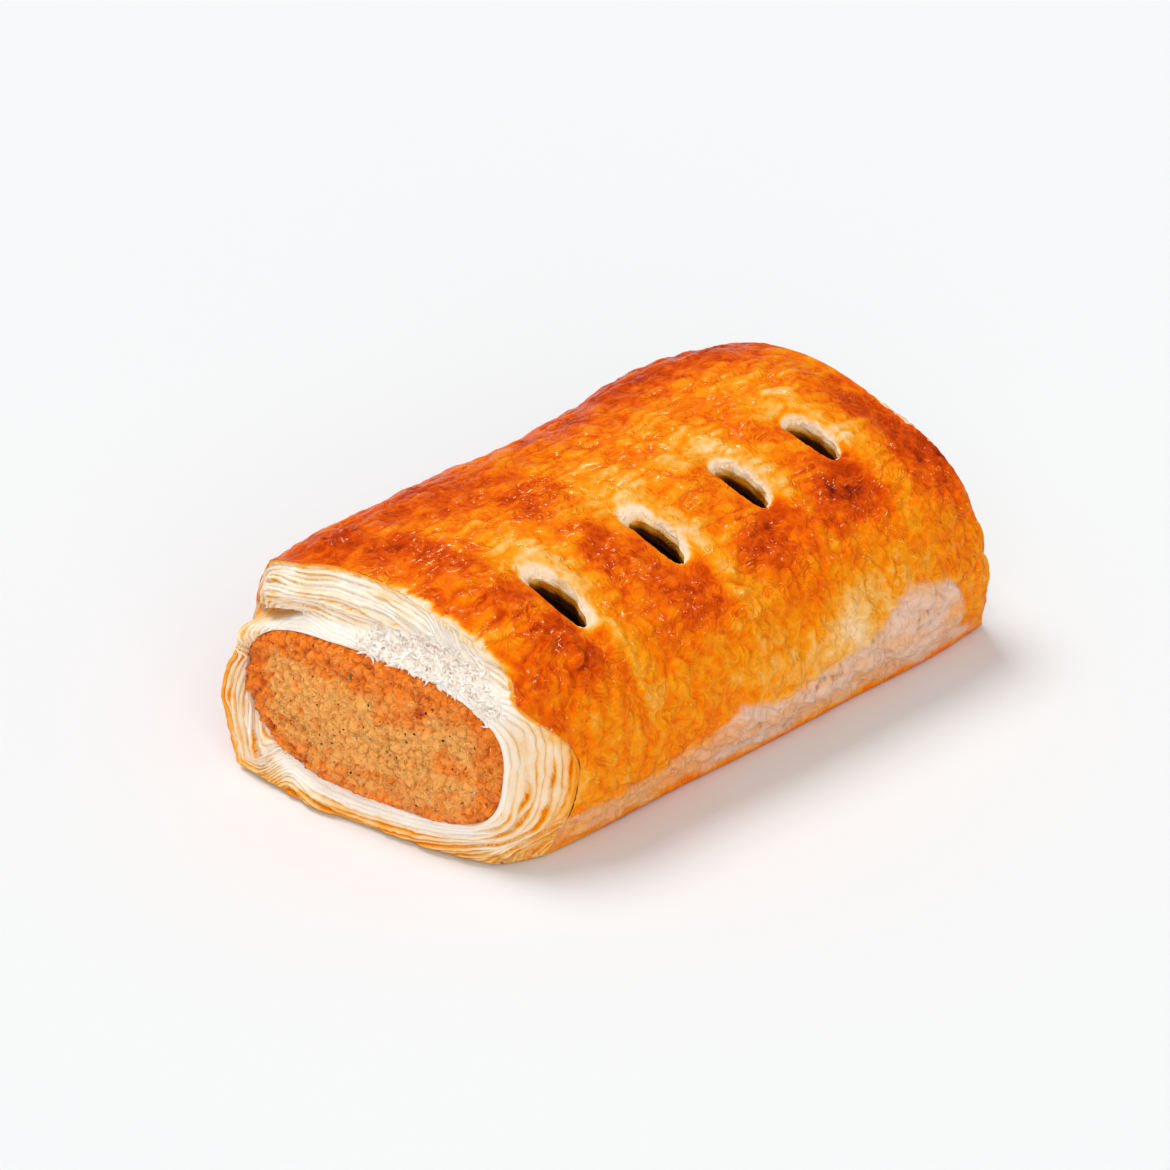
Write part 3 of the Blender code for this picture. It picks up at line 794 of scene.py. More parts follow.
def build_grain_group() -> bpy.types.NodeTree:
    """Shared fine grain: mottle, strokes that turn from patch to patch, ridges and pores."""
    tree, source, sink = add_group("fine_grain", {"Size": 1.0, "Stroke": 1.0}, {
        "Mottle": "NodeSocketFloat", "Strokes": "NodeSocketFloat",
        "Ridges": "NodeSocketFloat", "Pores": "NodeSocketFloat"})

    def vector_node(kind: str, a: object, b: object = None) -> bpy.types.Node:
        """One Vector Math node; each input is a socket or a vector."""
        node = tree.nodes.new("ShaderNodeVectorMath")
        node.operation = kind
        for socket, value in zip(node.inputs, (a, b)):
            if isinstance(value, bpy.types.NodeSocket):
                tree.links.new(value, socket)
            elif value is not None:
                socket.default_value = value
        return node

    scaled = vector_node("SCALE", source.outputs["Vector"])
    tree.links.new(source.outputs["Size"], scaled.inputs["Scale"])
    vector = scaled.outputs[0]
    warp = tree.nodes.new("ShaderNodeTexNoise")
    warp.inputs["Scale"].default_value = 330.0
    warp.inputs["Detail"].default_value = 2.0
    tree.links.new(vector, warp.inputs["Vector"])
    push = vector_node("SUBTRACT", warp.outputs["Color"], (0.5, 0.5, 0.5))
    push = vector_node("MULTIPLY", push.outputs[0], (0.0042, 0.0042, 0.0042))
    bent = vector_node("ADD", vector, push.outputs[0]).outputs[0]
    patch = tree.nodes.new("ShaderNodeTexVoronoi")
    patch.inputs["Scale"].default_value = 230.0
    tree.links.new(bent, patch.inputs["Vector"])
    heading = vector_node("SUBTRACT", patch.outputs["Color"], (0.5, 0.5, 0.5))
    heading = vector_node("NORMALIZE", heading.outputs[0])
    along = vector_node("DOT_PRODUCT", bent, heading.outputs[0]).outputs["Value"]
    along = math_node(tree, "MULTIPLY", along, math_node(
        tree, "MULTIPLY", source.outputs["Stroke"], 7000.0))
    strength = noise_node(tree, vector, 190.0, 2.0)
    strength = math_node(tree, "SUBTRACT", math_node(tree, "MULTIPLY", strength, 2.6), 0.75, True)
    border = cell_node(tree, bent, 230.0, "DISTANCE_TO_EDGE")
    strength = math_node(tree, "MULTIPLY", strength, math_node(
        tree, "MULTIPLY", border, 6.0, True))
    strokes = math_node(tree, "MULTIPLY", math_node(tree, "SINE", along), math_node(
        tree, "MULTIPLY", strength, 0.5))
    strokes = math_node(tree, "ADD", strokes, 0.5)
    mottle = noise_node(tree, vector, 380.0, 6.0, 0.8)
    edge = cell_node(tree, bent, 430.0, "DISTANCE_TO_EDGE")
    crest = tree.nodes.new("ShaderNodeMapRange")
    crest.interpolation_type = "SMOOTHERSTEP"
    crest.inputs["From Max"].default_value = 0.32
    crest.inputs["To Min"].default_value, crest.inputs["To Max"].default_value = 1.0, 0.0
    tree.links.new(edge, crest.inputs["Value"])
    ridges = crest.outputs["Result"]
    pores = cell_node(tree, bent, 900.0, "F1")
    pores = math_node(tree, "SUBTRACT", 1.0, math_node(tree, "MULTIPLY", pores, 3.4, True), True)
    for key, value in (("Mottle", mottle), ("Strokes", strokes), ("Ridges", ridges),
                       ("Pores", pores)):
        tree.links.new(value, sink.inputs[key])
    return tree


def build_bake_group() -> bpy.types.NodeTree:
    """Shared browning ramp: white dough, cream, gold, orange, brown, burnt; then a mix towards pinkish
    bare dough, and one towards near black for painted shade.
    """
    tree, source, sink = add_group("browning", {"Bake": 0.5, "Bare": 0.0, "Shade": 0.0},
                                   {"Color": "NodeSocketColor"})
    colours = tree.nodes.new("ShaderNodeValToRGB")
    stops = (
        (0.00, (0.985, 0.930, 0.870)), (0.11, (0.970, 0.780, 0.590)),
        (0.21, (0.945, 0.650, 0.350)), (0.31, (0.940, 0.480, 0.105)),
        (0.41, (0.950, 0.325, 0.006)), (0.51, (0.945, 0.212, 0.001)),
        (0.61, (0.860, 0.132, 0.001)), (0.71, (0.670, 0.068, 0.001)),
        (0.81, (0.450, 0.036, 0.001)), (0.90, (0.200, 0.013, 0.002)),
        (1.00, (0.016, 0.004, 0.002)))
    strip = colours.color_ramp
    strip.elements[0].position, strip.elements[0].color = stops[0][0], (*stops[0][1], 1.0)
    strip.elements[1].position, strip.elements[1].color = stops[-1][0], (*stops[-1][1], 1.0)
    for place, colour in stops[1:-1]:
        strip.elements.new(place).color = (*colour, 1.0)
    tree.links.new(source.outputs["Bake"], colours.inputs["Fac"])
    blend = tree.nodes.new("ShaderNodeMix")
    blend.data_type = "RGBA"
    tree.links.new(source.outputs["Bare"], blend.inputs["Factor"])
    tree.links.new(colours.outputs["Color"], blend.inputs[6])
    blend.inputs[7].default_value = (0.830, 0.560, 0.420, 1.0)
    # Painted shade: the shade input mixes the colour towards this near-black brown.
    deep = tree.nodes.new("ShaderNodeMix")
    deep.data_type = "RGBA"
    tree.links.new(source.outputs["Shade"], deep.inputs["Factor"])
    tree.links.new(blend.outputs[2], deep.inputs[6])
    deep.inputs[7].default_value = (0.040, 0.011, 0.004, 1.0)
    tree.links.new(deep.outputs[2], sink.inputs["Color"])
    return tree


@dataclass(frozen=True)
class Finish:
    """A baked or cooked surface: browning mask plus grain, gloss and relief."""

    name: str
    bake_spread: float
    matte: float
    gloss: float
    coat: float
    specular: float
    bump: float
    bump_depth: float
    grain_size: float
    stroke: float
    strokes: float
    ridges: float
    pores: float
    painted_relief_shading: float
    soft: float = 0.0
    pale_calm: float = 1.9

    def build(self, grain: bpy.types.NodeTree, browning: bpy.types.NodeTree
              ) -> bpy.types.Material:
        """Material that reads the browning, bare, glaze and shade masks of its piece; the shade mask is
        painted shade.
        """
        material = bpy.data.materials.new(self.name)
        material.use_nodes = True
        tree = material.node_tree
        shader = tree.nodes["Principled BSDF"]
        place = tree.nodes.new("ShaderNodeTexCoord").outputs["Object"]
        fine = tree.nodes.new("ShaderNodeGroup")
        fine.node_tree = grain
        fine.inputs["Size"].default_value = self.grain_size
        tree.links.new(place, fine.inputs["Vector"])
        bake, bare, glaze, shade = (self._mask(tree, key)
                                    for key in ("bake", "bare", "glaze", "shade"))
        fine.inputs["Stroke"].default_value = self.stroke
        baked = math_node(tree, "MULTIPLY", bake, self.pale_calm, True)
        shift = math_node(tree, "SUBTRACT", fine.outputs["Mottle"], 0.5)
        spread = math_node(tree, "MULTIPLY", math_node(
            tree, "MULTIPLY", shift, self.bake_spread), baked)
        folds = math_node(tree, "MULTIPLY", math_node(
            tree, "SUBTRACT", fine.outputs["Strokes"], 0.5), baked)
        height = math_node(tree, "ADD", math_node(tree, "MULTIPLY", folds, self.strokes),
                           math_node(tree, "MULTIPLY", fine.outputs["Ridges"], self.ridges))
        height = math_node(tree, "ADD", height, math_node(tree, "MULTIPLY", shift, 1.2))
        height = math_node(tree, "SUBTRACT", height, math_node(
            tree, "MULTIPLY", fine.outputs["Pores"], self.pores))
        tone = math_node(tree, "ADD", bake, spread)
        # Painted highlight and shade: the crests of the fine relief are paler and its hollows darker.
        tone = math_node(tree, "SUBTRACT", tone, math_node(
            tree, "MULTIPLY", height, self.painted_relief_shading), True)
        colour = tree.nodes.new("ShaderNodeGroup")
        colour.node_tree = browning
        tree.links.new(place, colour.inputs["Vector"])
        tree.links.new(tone, colour.inputs["Bake"])
        tree.links.new(bare, colour.inputs["Bare"])
        tree.links.new(shade, colour.inputs["Shade"])
        tree.links.new(colour.outputs["Color"], shader.inputs["Base Color"])
        drop = math_node(tree, "MULTIPLY", glaze, self.gloss - self.matte)
        drop = math_node(tree, "ADD", drop, self.matte)
        tree.links.new(math_node(tree, "ADD", drop, math_node(tree, "MULTIPLY", shift, 0.2),
                                 True), shader.inputs["Roughness"])
        tree.links.new(math_node(tree, "MULTIPLY", glaze, self.coat, True),
                       shader.inputs["Coat Weight"])
        shader.inputs["Coat Roughness"].default_value = 0.12
        shader.inputs["Specular IOR Level"].default_value = self.specular
        shader.inputs["Subsurface Weight"].default_value = self.soft
        shader.inputs["Subsurface Radius"].default_value = (1.0, 0.8, 0.6)
        shader.inputs["Subsurface Scale"].default_value = 0.0005
        bump = tree.nodes.new("ShaderNodeBump")
        bump.inputs["Strength"].default_value = self.bump
        bump.inputs["Distance"].default_value = self.bump_depth
        tree.links.new(height, bump.inputs["Height"])
        tree.links.new(bump.outputs["Normal"], shader.inputs["Normal"])
        return material

    def _mask(self, tree: bpy.types.NodeTree, name: str) -> bpy.types.NodeSocket:
        """One of the piece's own masks."""
        node = tree.nodes.new("ShaderNodeAttribute")
        node.attribute_name = name
        return node.outputs["Fac"]


CRUST = Finish("glazed_crust", 0.42, 0.46, 0.20, 0.17, 0.02, 1.0, 0.00022, 1.0, 1.0,
               0.85, 0.40, 0.30, 0.12)
LAYERS = Finish("pastry_layers", 0.18, 0.80, 0.55, 0.05, 0.03, 0.8, 0.00014, 1.3, 1.1,
                0.55, 0.20, 0.30, 0.05, 0.35, 6.0)
CRUMB = Finish("torn_dough", 0.06, 0.85, 0.60, 0.0, 0.02, 0.5, 0.00008, 1.3, 1.1,
               0.50, 0.20, 0.30, 0.02, 0.0, 9.0)


@dataclass(frozen=True)
class MeatFinish:
    """Cooked sausage meat: tan grain, orange caramelised border, moist, with painted shade running to
    near black on its hidden side and in its holes.
    """

    name: str = "sausage_meat"
    tan: tuple[float, float, float] = (1.000, 0.440, 0.095)
    orange: tuple[float, float, float] = (1.000, 0.235, 0.010)
    brown: tuple[float, float, float] = (0.620, 0.090, 0.006)
    # Near black, for charred bits and for painted shade.
    char_and_painted_shade: tuple[float, float, float] = (0.030, 0.008, 0.004)

    def build(self, grain: bpy.types.NodeTree) -> bpy.types.Material:
        """Material that reads the meat's mask of caramelised browning and painted shade."""
        material = bpy.data.materials.new(self.name)
        material.use_nodes = True
        tree = material.node_tree
        shader = tree.nodes["Principled BSDF"]
        place = tree.nodes.new("ShaderNodeTexCoord").outputs["Object"]
        fine = tree.nodes.new("ShaderNodeGroup")
        fine.node_tree = grain
        fine.inputs["Size"].default_value = 1.3
        tree.links.new(place, fine.inputs["Vector"])
        node = tree.nodes.new("ShaderNodeAttribute")
        node.attribute_name = "caramel_and_painted_shade"
        shift = math_node(tree, "SUBTRACT", fine.outputs["Mottle"], 0.5)
        folds = math_node(tree, "SUBTRACT", fine.outputs["Strokes"], 0.5)
        height = math_node(tree, "ADD", math_node(tree, "MULTIPLY", folds, 0.5),
                           math_node(tree, "MULTIPLY", shift, 2.0))
        height = math_node(tree, "SUBTRACT", height, math_node(
            tree, "MULTIPLY", fine.outputs["Pores"], 0.6))
        tone = math_node(tree, "ADD", node.outputs["Fac"],
                         math_node(tree, "MULTIPLY", shift, 1.3))
        # Painted highlight and shade: the meat's raised grain is paler and its hollows darker.
        tone = math_node(tree, "SUBTRACT", tone, math_node(
            tree, "MULTIPLY", height, 0.26), True)
        colours = tree.nodes.new("ShaderNodeValToRGB")
        strip = colours.color_ramp
        strip.elements[0].position, strip.elements[0].color = 0.08, (*self.tan, 1.0)
        strip.elements[1].position, strip.elements[1].color = 1.0, (*self.char_and_painted_shade, 1.0)
        strip.elements.new(0.45).color = (*self.orange, 1.0)
        strip.elements.new(0.75).color = (*self.brown, 1.0)
        tree.links.new(tone, colours.inputs["Fac"])
        tree.links.new(colours.outputs["Color"], shader.inputs["Base Color"])
        tree.links.new(math_node(tree, "ADD", 0.36, math_node(tree, "MULTIPLY", shift, 0.5),
                                 True), shader.inputs["Roughness"])
        shader.inputs["Specular IOR Level"].default_value = 0.14
        shader.inputs["Coat Weight"].default_value = 0.35
        shader.inputs["Coat Roughness"].default_value = 0.14
        bump = tree.nodes.new("ShaderNodeBump")
        bump.inputs["Strength"].default_value = 1.0
        bump.inputs["Distance"].default_value = 0.0006
        tree.links.new(height, bump.inputs["Height"])
        tree.links.new(bump.outputs["Normal"], shader.inputs["Normal"])
        return material


def plain_finish(name: str, colour: tuple[float, float, float], roughness: float,
                 spread: float) -> bpy.types.Material:
    """Small bits: a colour that drifts darker by a noise, and its gloss."""
    material = bpy.data.materials.new(name)
    material.use_nodes = True
    tree = material.node_tree
    shader = tree.nodes["Principled BSDF"]
    place = tree.nodes.new("ShaderNodeTexCoord").outputs["Object"]
    colours = tree.nodes.new("ShaderNodeValToRGB")
    strip = colours.color_ramp
    strip.elements[0].position, strip.elements[0].color = 0.30, (*colour, 1.0)
    strip.elements[1].position = 0.75
    strip.elements[1].color = (*(channel * spread for channel in colour), 1.0)
    tree.links.new(noise_node(tree, place, 900.0, 3.0), colours.inputs["Fac"])
    tree.links.new(colours.outputs["Color"], shader.inputs["Base Color"])
    shader.inputs["Roughness"].default_value = roughness
    return material


# ---------------------------------------------------------------- crust


@dataclass
class Crust:
    """The baked outer wrap with its slits and the groove under the flap."""

    form: RollForm
    browning: Browning
    stations: int = 220
    places: int = 400
    wall_rings: int = 18
    tunnel_rings: int = 10
    wall_inset: float = 4.0
    wall_step: float = 0.22
    edge_rag: float = 0.35
    hollow: float = 1.6

    def build(self, material: bpy.types.Material) -> bpy.types.Object:
        """Skin, end walls and tunnel as one closed grid, with the cuts taken out."""
        u = self._stations()
        shares = self.form.shares(self.places, 0.55, 0.25)
        skin = self.form.skin(u, shares)
        normal = grid_normals(skin)
        if normal[self.stations // 2, self.places // 4, 2] < 0.0:
            normal = -normal
        edge = np.minimum(u, 1.0 - u)[:, None] * self.form.length
        height = self.browning.relief(skin) * mix(0.35, 1.0, ramp(edge, 0.0, 2.5))
        outer = skin + normal * height[..., None]
        outer[..., 2] = np.maximum(outer[..., 2], 0.0)
        rag = self.edge_rag * rough(skin, 2.2, 3, 81) * (1.0 - ramp(edge, 0.0, 4.0))
        outer[..., 0] += rag
        rings = np.concatenate([outer, self._wall(outer[-1], End.BACK),
                                self._tunnel(outer[-1], outer[0]),
                                self._wall(outer[0], End.FRONT)[::-1]])
        self.outer, self.normal = outer.reshape(-1, 3), normal.reshape(-1, 3)
        points = rings.reshape(-1, 3)
        faces = grid_faces(len(rings), self.places, True, True)
        inner = np.zeros(rings.shape[:2])
        inner[self.stations + 1:] = 1.0
        obj = make_piece("crust", points, faces, {"inner": inner})
        self._cut(obj)
        mesh = obj.data
        p = np.empty(len(mesh.vertices) * 3, np.float32)
        mesh.vertices.foreach_get("co", p)
        p = p.reshape(-1, 3).astype(float) / MM
        inner = np.zeros(len(mesh.vertices), np.float32)
        mesh.attributes["inner"].data.foreach_get("value", inner)
        LOG.info("inner vertices: %d", int((inner > 0.5).sum()))
        set_mask(mesh, "bake", mix(self.browning.bake(p), 0.18, inner))
        set_mask(mesh, "bare", self.browning.bare(p))
        set_mask(mesh, "glaze", self.browning.glaze(p))
        # Painted shade in the slits and in the strip's pits.
        set_mask(mesh, "shade", self.browning.shade(p))
        mesh.set_sharp_from_angle(angle=math.radians(55.0))
        return dress(obj, material, "pastry", "pastry")

    def _stations(self) -> np.ndarray:
        """Places along the roll, closer together across the slits."""
        fine = np.linspace(0.0, 1.0, 1001)
        weight = np.ones_like(fine)
        for slit in self.form.slits():
            weight += 0.8 * bell((fine - 0.5) * self.form.length - slit.x, 5.0)
        run = np.concatenate([[0.0], np.cumsum(0.5 * (weight[1:] + weight[:-1]))])
        return np.interp(np.linspace(0.0, 1.0, self.stations), run / run[-1], fine)

    def _wall(self, ring: np.ndarray, end: End) -> np.ndarray:
        """Plain end wall behind the layers, from the skin's edge in to the tunnel."""
        y, z = self.form.meat_outline(ring[:, 1], ring[:, 2], 0.4, end)
        rows = []
        for step in range(1, self.wall_rings + 1):
            t = self.wall_step + (1.0 - self.wall_step) * (step / self.wall_rings) ** 2.0
            inner_y, inner_z = mix(ring[:, 1], y, t), mix(ring[:, 2], z, t)
            sunk = self.wall_inset * (1.0 + 1.5 * ramp(t, 0.3, 0.7))
            x = end_plane(self.form, inner_y, inner_z, ring, t, end)
            x = x + sunk if end is End.FRONT else x - sunk
            rows.append(np.stack([x, inner_y, inner_z], axis=-1))
        return np.array(rows)

    def _tunnel(self, back: np.ndarray, front: np.ndarray) -> np.ndarray:
        """Rings of the tunnel from the back end to the front end."""
        last = self._wall(back, End.BACK)[-1]
        first = self._wall(front, End.FRONT)[-1]
        t = np.arange(1, self.tunnel_rings + 1) / (self.tunnel_rings + 1)
        return mix(last[None], first[None], t[:, None, None])

    def _cut(self, crust: bpy.types.Object) -> None:
        """Take the slits out of the crust with exact Booleans, then apply them."""
        cutters = [self._slit_cutter(i, slit) for i, slit in enumerate(self.form.slits())]
        for cutter in cutters:
            modifier = crust.modifiers.new(cutter.name, "BOOLEAN")
            modifier.operation = "DIFFERENCE"
            modifier.solver = "EXACT"
            modifier.object = cutter
        graph = bpy.context.evaluated_depsgraph_get()
        cut = bpy.data.meshes.new_from_object(crust.evaluated_get(graph))
        crust.modifiers.clear()
        crust.data = cut
        for cutter in cutters:
            bpy.data.objects.remove(cutter, do_unlink=True)

    def _slit_cutter(self, index: int, slit: Slit) -> bpy.types.Object:
        """Oval plug that follows the top: plain through the lip, hollowed out below it."""
        form, rows, columns = self.form, 46, 96
        turn = np.linspace(0.0, 2.0 * math.pi, columns, endpoint=False)[None, :]
        depth = np.linspace(-15.0, 5.0, rows)[:, None]
        wave = 0.10 * np.sin(2.0 * turn + index) + 0.05 * np.sin(5.0 * turn + 2.0 * index)
        leaf = 0.14 * np.sin(2.0 * math.pi * (0.7 * depth + 2.0 * wave))
        leaf = leaf * (1.0 - ramp(depth, -1.2, -0.4))
        hollow = self.hollow * (1.0 - ramp(depth, -7.5, -5.0))
        ragged = 0.22 * np.sin(7.0 * turn + index) * np.sin(3.0 * turn)
        grow = leaf + hollow + ragged * (1.0 - ramp(depth, -1.5, 0.0))
        across = (form.hole_half_width + grow) * np.cos(turn) + form.hole_shift
        along = (slit.half_length * form.hole_share + grow) * np.sin(turn) + form.hole_back
        x = slit.x + across - math.tan(form.slit_skew) * along
        y = slit.y + along
        plan = np.stack([x, y, 0.0 * x], axis=-1)
        z = form.top_height(plan) + depth
        points = np.stack([x, y, z], axis=-1)
        ends = np.stack([points[0].mean(axis=0), points[-1].mean(axis=0)])
        points = np.concatenate([points.reshape(-1, 3), ends])
        return closed_tube(f"slit_plug_{index}", points, rows, columns)


def closed_tube(name: str, points: np.ndarray, rows: int, columns: int) -> bpy.types.Object:
    """Tube of rows by columns whose last two points close its ends, as triangles."""
    quads = grid_faces(rows, columns, False, True)
    sides = np.concatenate([quads[:, [0, 1, 2]], quads[:, [0, 2, 3]]])
    c = np.arange(columns)
    nxt = (c + 1) % columns
    start = rows * columns
    low = np.stack([np.full(columns, start), c, nxt], axis=-1)
    top = (rows - 1) * columns
    high = np.stack([np.full(columns, start + 1), top + nxt, top + c], axis=-1)
    return make_piece(name, points, np.concatenate([sides, low, high]))


def end_plane(form: RollForm, y: np.ndarray, z: np.ndarray, ring: np.ndarray, t: object,
              end: End) -> np.ndarray:
    """Place along the roll of an end face at (y, z), from the skin's edge to the meat.

    The face follows the cut's own setback at (y, z). Near the skin (t = 0) it meets the
    edge, and near the meat (t = 1) it ends a little behind the meat's face.
    """
    if end is End.FRONT:
        half = float(form.size(np.array([0.0]))[1][0])
        plane = -form.length / 2 + form.front_setback(y, z, half)
        meat = -form.length / 2 + form.meat_face(y, z) + 0.5
    else:
        half = float(form.size(np.array([1.0]))[1][0])
        plane = form.length / 2 - form.back_setback(y, z, half)
        meat = plane - 0.5
    plane = mix(plane, meat, ramp(t, 0.55, 1.0))
    edge = ring[:, 0] if np.ndim(t) == 0 else ring[None, :, 0]
    return mix(edge, plane, ramp(t, 0.0, 0.35))


# ---------------------------------------------------------------- cut ends


@dataclass
class CutEnd:
    """The layered pastry that shows round the meat at one cut end."""

    form: RollForm
    browning: Browning
    end: End
    rings: int = 92
    places: int = 860
    pitch: float = 0.95
    depth: float = 6.0

    def build(self, crust_edge: np.ndarray, material: bpy.types.Material) -> bpy.types.Object:
        """Relief grid from the crust's edge in to the meat, closed round its back.

        Args:
            crust_edge: the skin's first or last ring.
            material: the layers' finish.
        """
        base, t = self._base(crust_edge)
        run = np.concatenate([np.zeros((1, self.places)), np.cumsum(
            np.linalg.norm(np.diff(base, axis=0), axis=-1), axis=0)])
        masks, height, sink = self._relief(base, run, t)
        normal = grid_normals(base)
        outward = -1.0 if self.end is End.FRONT else 1.0
        normal = normal * np.sign(normal[..., :1] * outward + 1e-9)
        face = base + normal * height[..., None]
        face[..., 0] -= outward * sink
        face[..., 2] = np.maximum(face[..., 2], 0.02)
        back = [face[-1] - [outward * self.depth, 0.0, 0.0]]
        for share, behind in ((0.66, 2.5), (0.40, 2.0), (0.24, 0.5), (0.05, 0.2)):
            back.append(mix(face[0], face[-1], share) - [outward * self.depth * behind, 0.0, 0.0])
        rings = np.concatenate([face, np.array(back)])
        extra = np.full((5, self.places), 0.16)
        shown = {key: np.concatenate([value, extra]).ravel() for key, value in masks.items()}
        faces = grid_faces(len(rings), self.places, True, True)
        obj = make_piece(f"{self.end.value}_layers", rings.reshape(-1, 3), faces, shown)
        self.face = face
        self.masks = masks
        return dress(obj, material, "pastry")

    def _base(self, edge: np.ndarray) -> tuple[np.ndarray, np.ndarray]:
        """Smooth face, with rings spaced evenly along it."""
        y, z = self.form.meat_outline(edge[:, 1], edge[:, 2], 0.15, self.end)
        t = np.linspace(0.0, 1.0, 241)[:, None]
        yy, zz = mix(edge[None, :, 1], y[None], t), mix(edge[None, :, 2], z[None], t)
        shy = 0.02 * (1.0 - ramp(t, 0.0, 0.08))
        x = end_plane(self.form, yy, zz, edge, t, self.end)
        middle = np.array([self.form.meat_middle(self.end), self.form.meat_z])
        dy, dz = yy - middle[0], zz - middle[1]
        away = np.maximum(np.hypot(dy, dz), 1e-6)
        dense = np.stack([x, yy - shy * dy / away, zz - shy * dz / away], axis=-1)
        step = np.linalg.norm(np.diff(dense, axis=0), axis=-1)
        run = np.concatenate([np.zeros((1, step.shape[1])), np.cumsum(step, axis=0)])
        run = run / run[-1]
        wanted = np.linspace(0.0, 1.0, self.rings)
        base = np.empty((self.rings, edge.shape[0], 3))
        places = np.empty((self.rings, edge.shape[0]))
        for column in range(edge.shape[0]):
            for axis in range(3):
                base[:, column, axis] = np.interp(wanted, run[:, column], dense[:, column, axis])
            places[:, column] = np.interp(wanted, run[:, column], t[:, 0])
        return base, places

    def _relief(self, p: np.ndarray, run: np.ndarray, t: np.ndarray
                ) -> tuple[dict[str, np.ndarray], np.ndarray, np.ndarray]:
        """Leaves, torn crumb and pocket: masks, height and extra depth, in mm.

        A leaf is the rounded ridge sin(pi f)^0.7 of the distance in from the crust,
        counted in pitches and warped; each leaf has its own height along its length.
        """
        y, z = p[..., 1], p[..., 2]
        around = p * np.array([1.0, 0.35, 0.35])
        seam = ramp(-y, 24.0, 31.0) * ramp(z, 3.0, 8.0)
        warp = 0.42 * rough(around, 7.0, 3, 101) + 0.16 * noise(p, 1.8, 105)
        total = run[-1:] + 0.0 * run
        inner = np.maximum(ramp(-y, 8.0, 20.0), (1.0 - ramp(z, 7.0, 13.0)) * ramp(-y, -24.0, -14.0))
        pitch = mix(self.pitch, 1.6 * self.pitch, seam)
        count = (run - inner * total) / pitch + 40.0 + warp
        leaf = np.floor(count)
        f = count - leaf
        ridge = np.sin(math.pi * f) ** 0.45
        keyed = p.copy()
        keyed[..., 0] = leaf * 17.3
        keyed[..., 1:] *= 0.13
        own = noise(keyed, 1.0, 109)
        ragged = noise(p * np.array([0.0, 1.0, 1.0]) + leaf[..., None] * 5.1, 0.8, 111)
        fluff, white, pocket = self._zones(p, run, t)
        leaf_height = (0.55 + 0.35 * own) * ridge + 0.62 * own + 0.14 * ragged
        crumb = 1.00 * rough(p, 2.6, 3, 113) + 0.45 * (1.0 - cells(p, 1.4, 117)[0])
        soft = 0.16 * ridge + 0.22 * rough(p, 2.5, 3, 119)
        height = mix(leaf_height, soft, white)
        height = mix(height, crumb + 0.7, fluff)
        line = (1.0 - ridge) ** 1.2
        broken = ramp(rough(p, 4.5, 2, 135), -0.45, 0.35)
        tone = 0.065 + 0.62 * line * (0.6 + 0.5 * own) * mix(0.25, 1.0, broken)
        tone = tone + 0.03 * own + 0.04 * noise(p, 2.0, 121)
        toasted = ramp(noise(keyed * np.array([1.0, 2.0, 2.0]), 1.0, 123), 0.10, 0.7)
        tone = tone + 0.09 * toasted * ridge * (1.0 - 0.6 * seam)
        fold = ramp(y, 27.0, 33.0) * ramp(z, 5.0, 9.0) * (1.0 - ramp(z, 30.0, 34.0))
        gilt = ramp(3.5 - run, 0.0, 2.5) * seam
        outside = 1.0 - ramp(run, 3.0, 7.0)
        low = 1.0 - ramp(z, 8.0, 15.0)
        tone = tone + 0.16 * fold + 0.09 * seam + 0.12 * gilt + 0.05 * outside * low
        tone = mix(tone, 0.02 + 0.10 * line, white)
        pale = ramp(0.0 - y, 0.0, 10.0) * ramp(z, 24.0, 30.0)
        tone = mix(tone, 0.03 + 0.22 * line, 0.8 * pale)
        tone = mix(tone, 0.03 + 0.05 * rough(p, 1.5, 2, 125), fluff)
        skin = 1.0 - ramp(run + 0.25 * ragged, 0.35, 1.1)
        tone = mix(tone, 0.38 + 0.06 * own, skin * (1.0 - 0.7 * ramp(4.0 - y, 0.0, 9.0)
                                                    * ramp(y + 27.0, 0.0, 7.0) * ramp(z, 28.0, 34.0)))
        foot = 1.0 - ramp(z + 0.5 * ragged, 1.6, 4.0)
        tone = mix(tone, 0.29 + 0.08 * noise(p, 3.0, 127) + 0.25 * line, 0.9 * foot)
        heel = ramp(-y, 25.0, 32.0) * (1.0 - ramp(z, 6.0, 14.0)) * (1.0 - ramp(run, 4.0, 7.5))
        tone = mix(tone, 0.28 + 0.12 * rough(p, 2.2, 2, 133) + 0.25 * line, 0.8 * heel)
        tone = mix(tone, 0.27 + 0.08 * rough(p, 2.0, 2, 129), pocket)
        # The shade mask here is painted shade in the creases between the leaves.
        masks = {"bake": np.clip(tone, 0.0, 1.0), "bare": np.zeros_like(tone),
                 "glaze": 0.35 * skin + 0.25 * foot, "fluff": fluff,
                 "shade": 0.18 * line * ramp(own, 0.0, 0.6) * (1.0 - fluff)}
        ends = ramp(t, 0.0, 0.05) * ramp(1.0 - t, 0.0, 0.03)
        return masks, (height - 0.25) * ends, 5.0 * pocket * ramp(t, 0.0, 0.02)

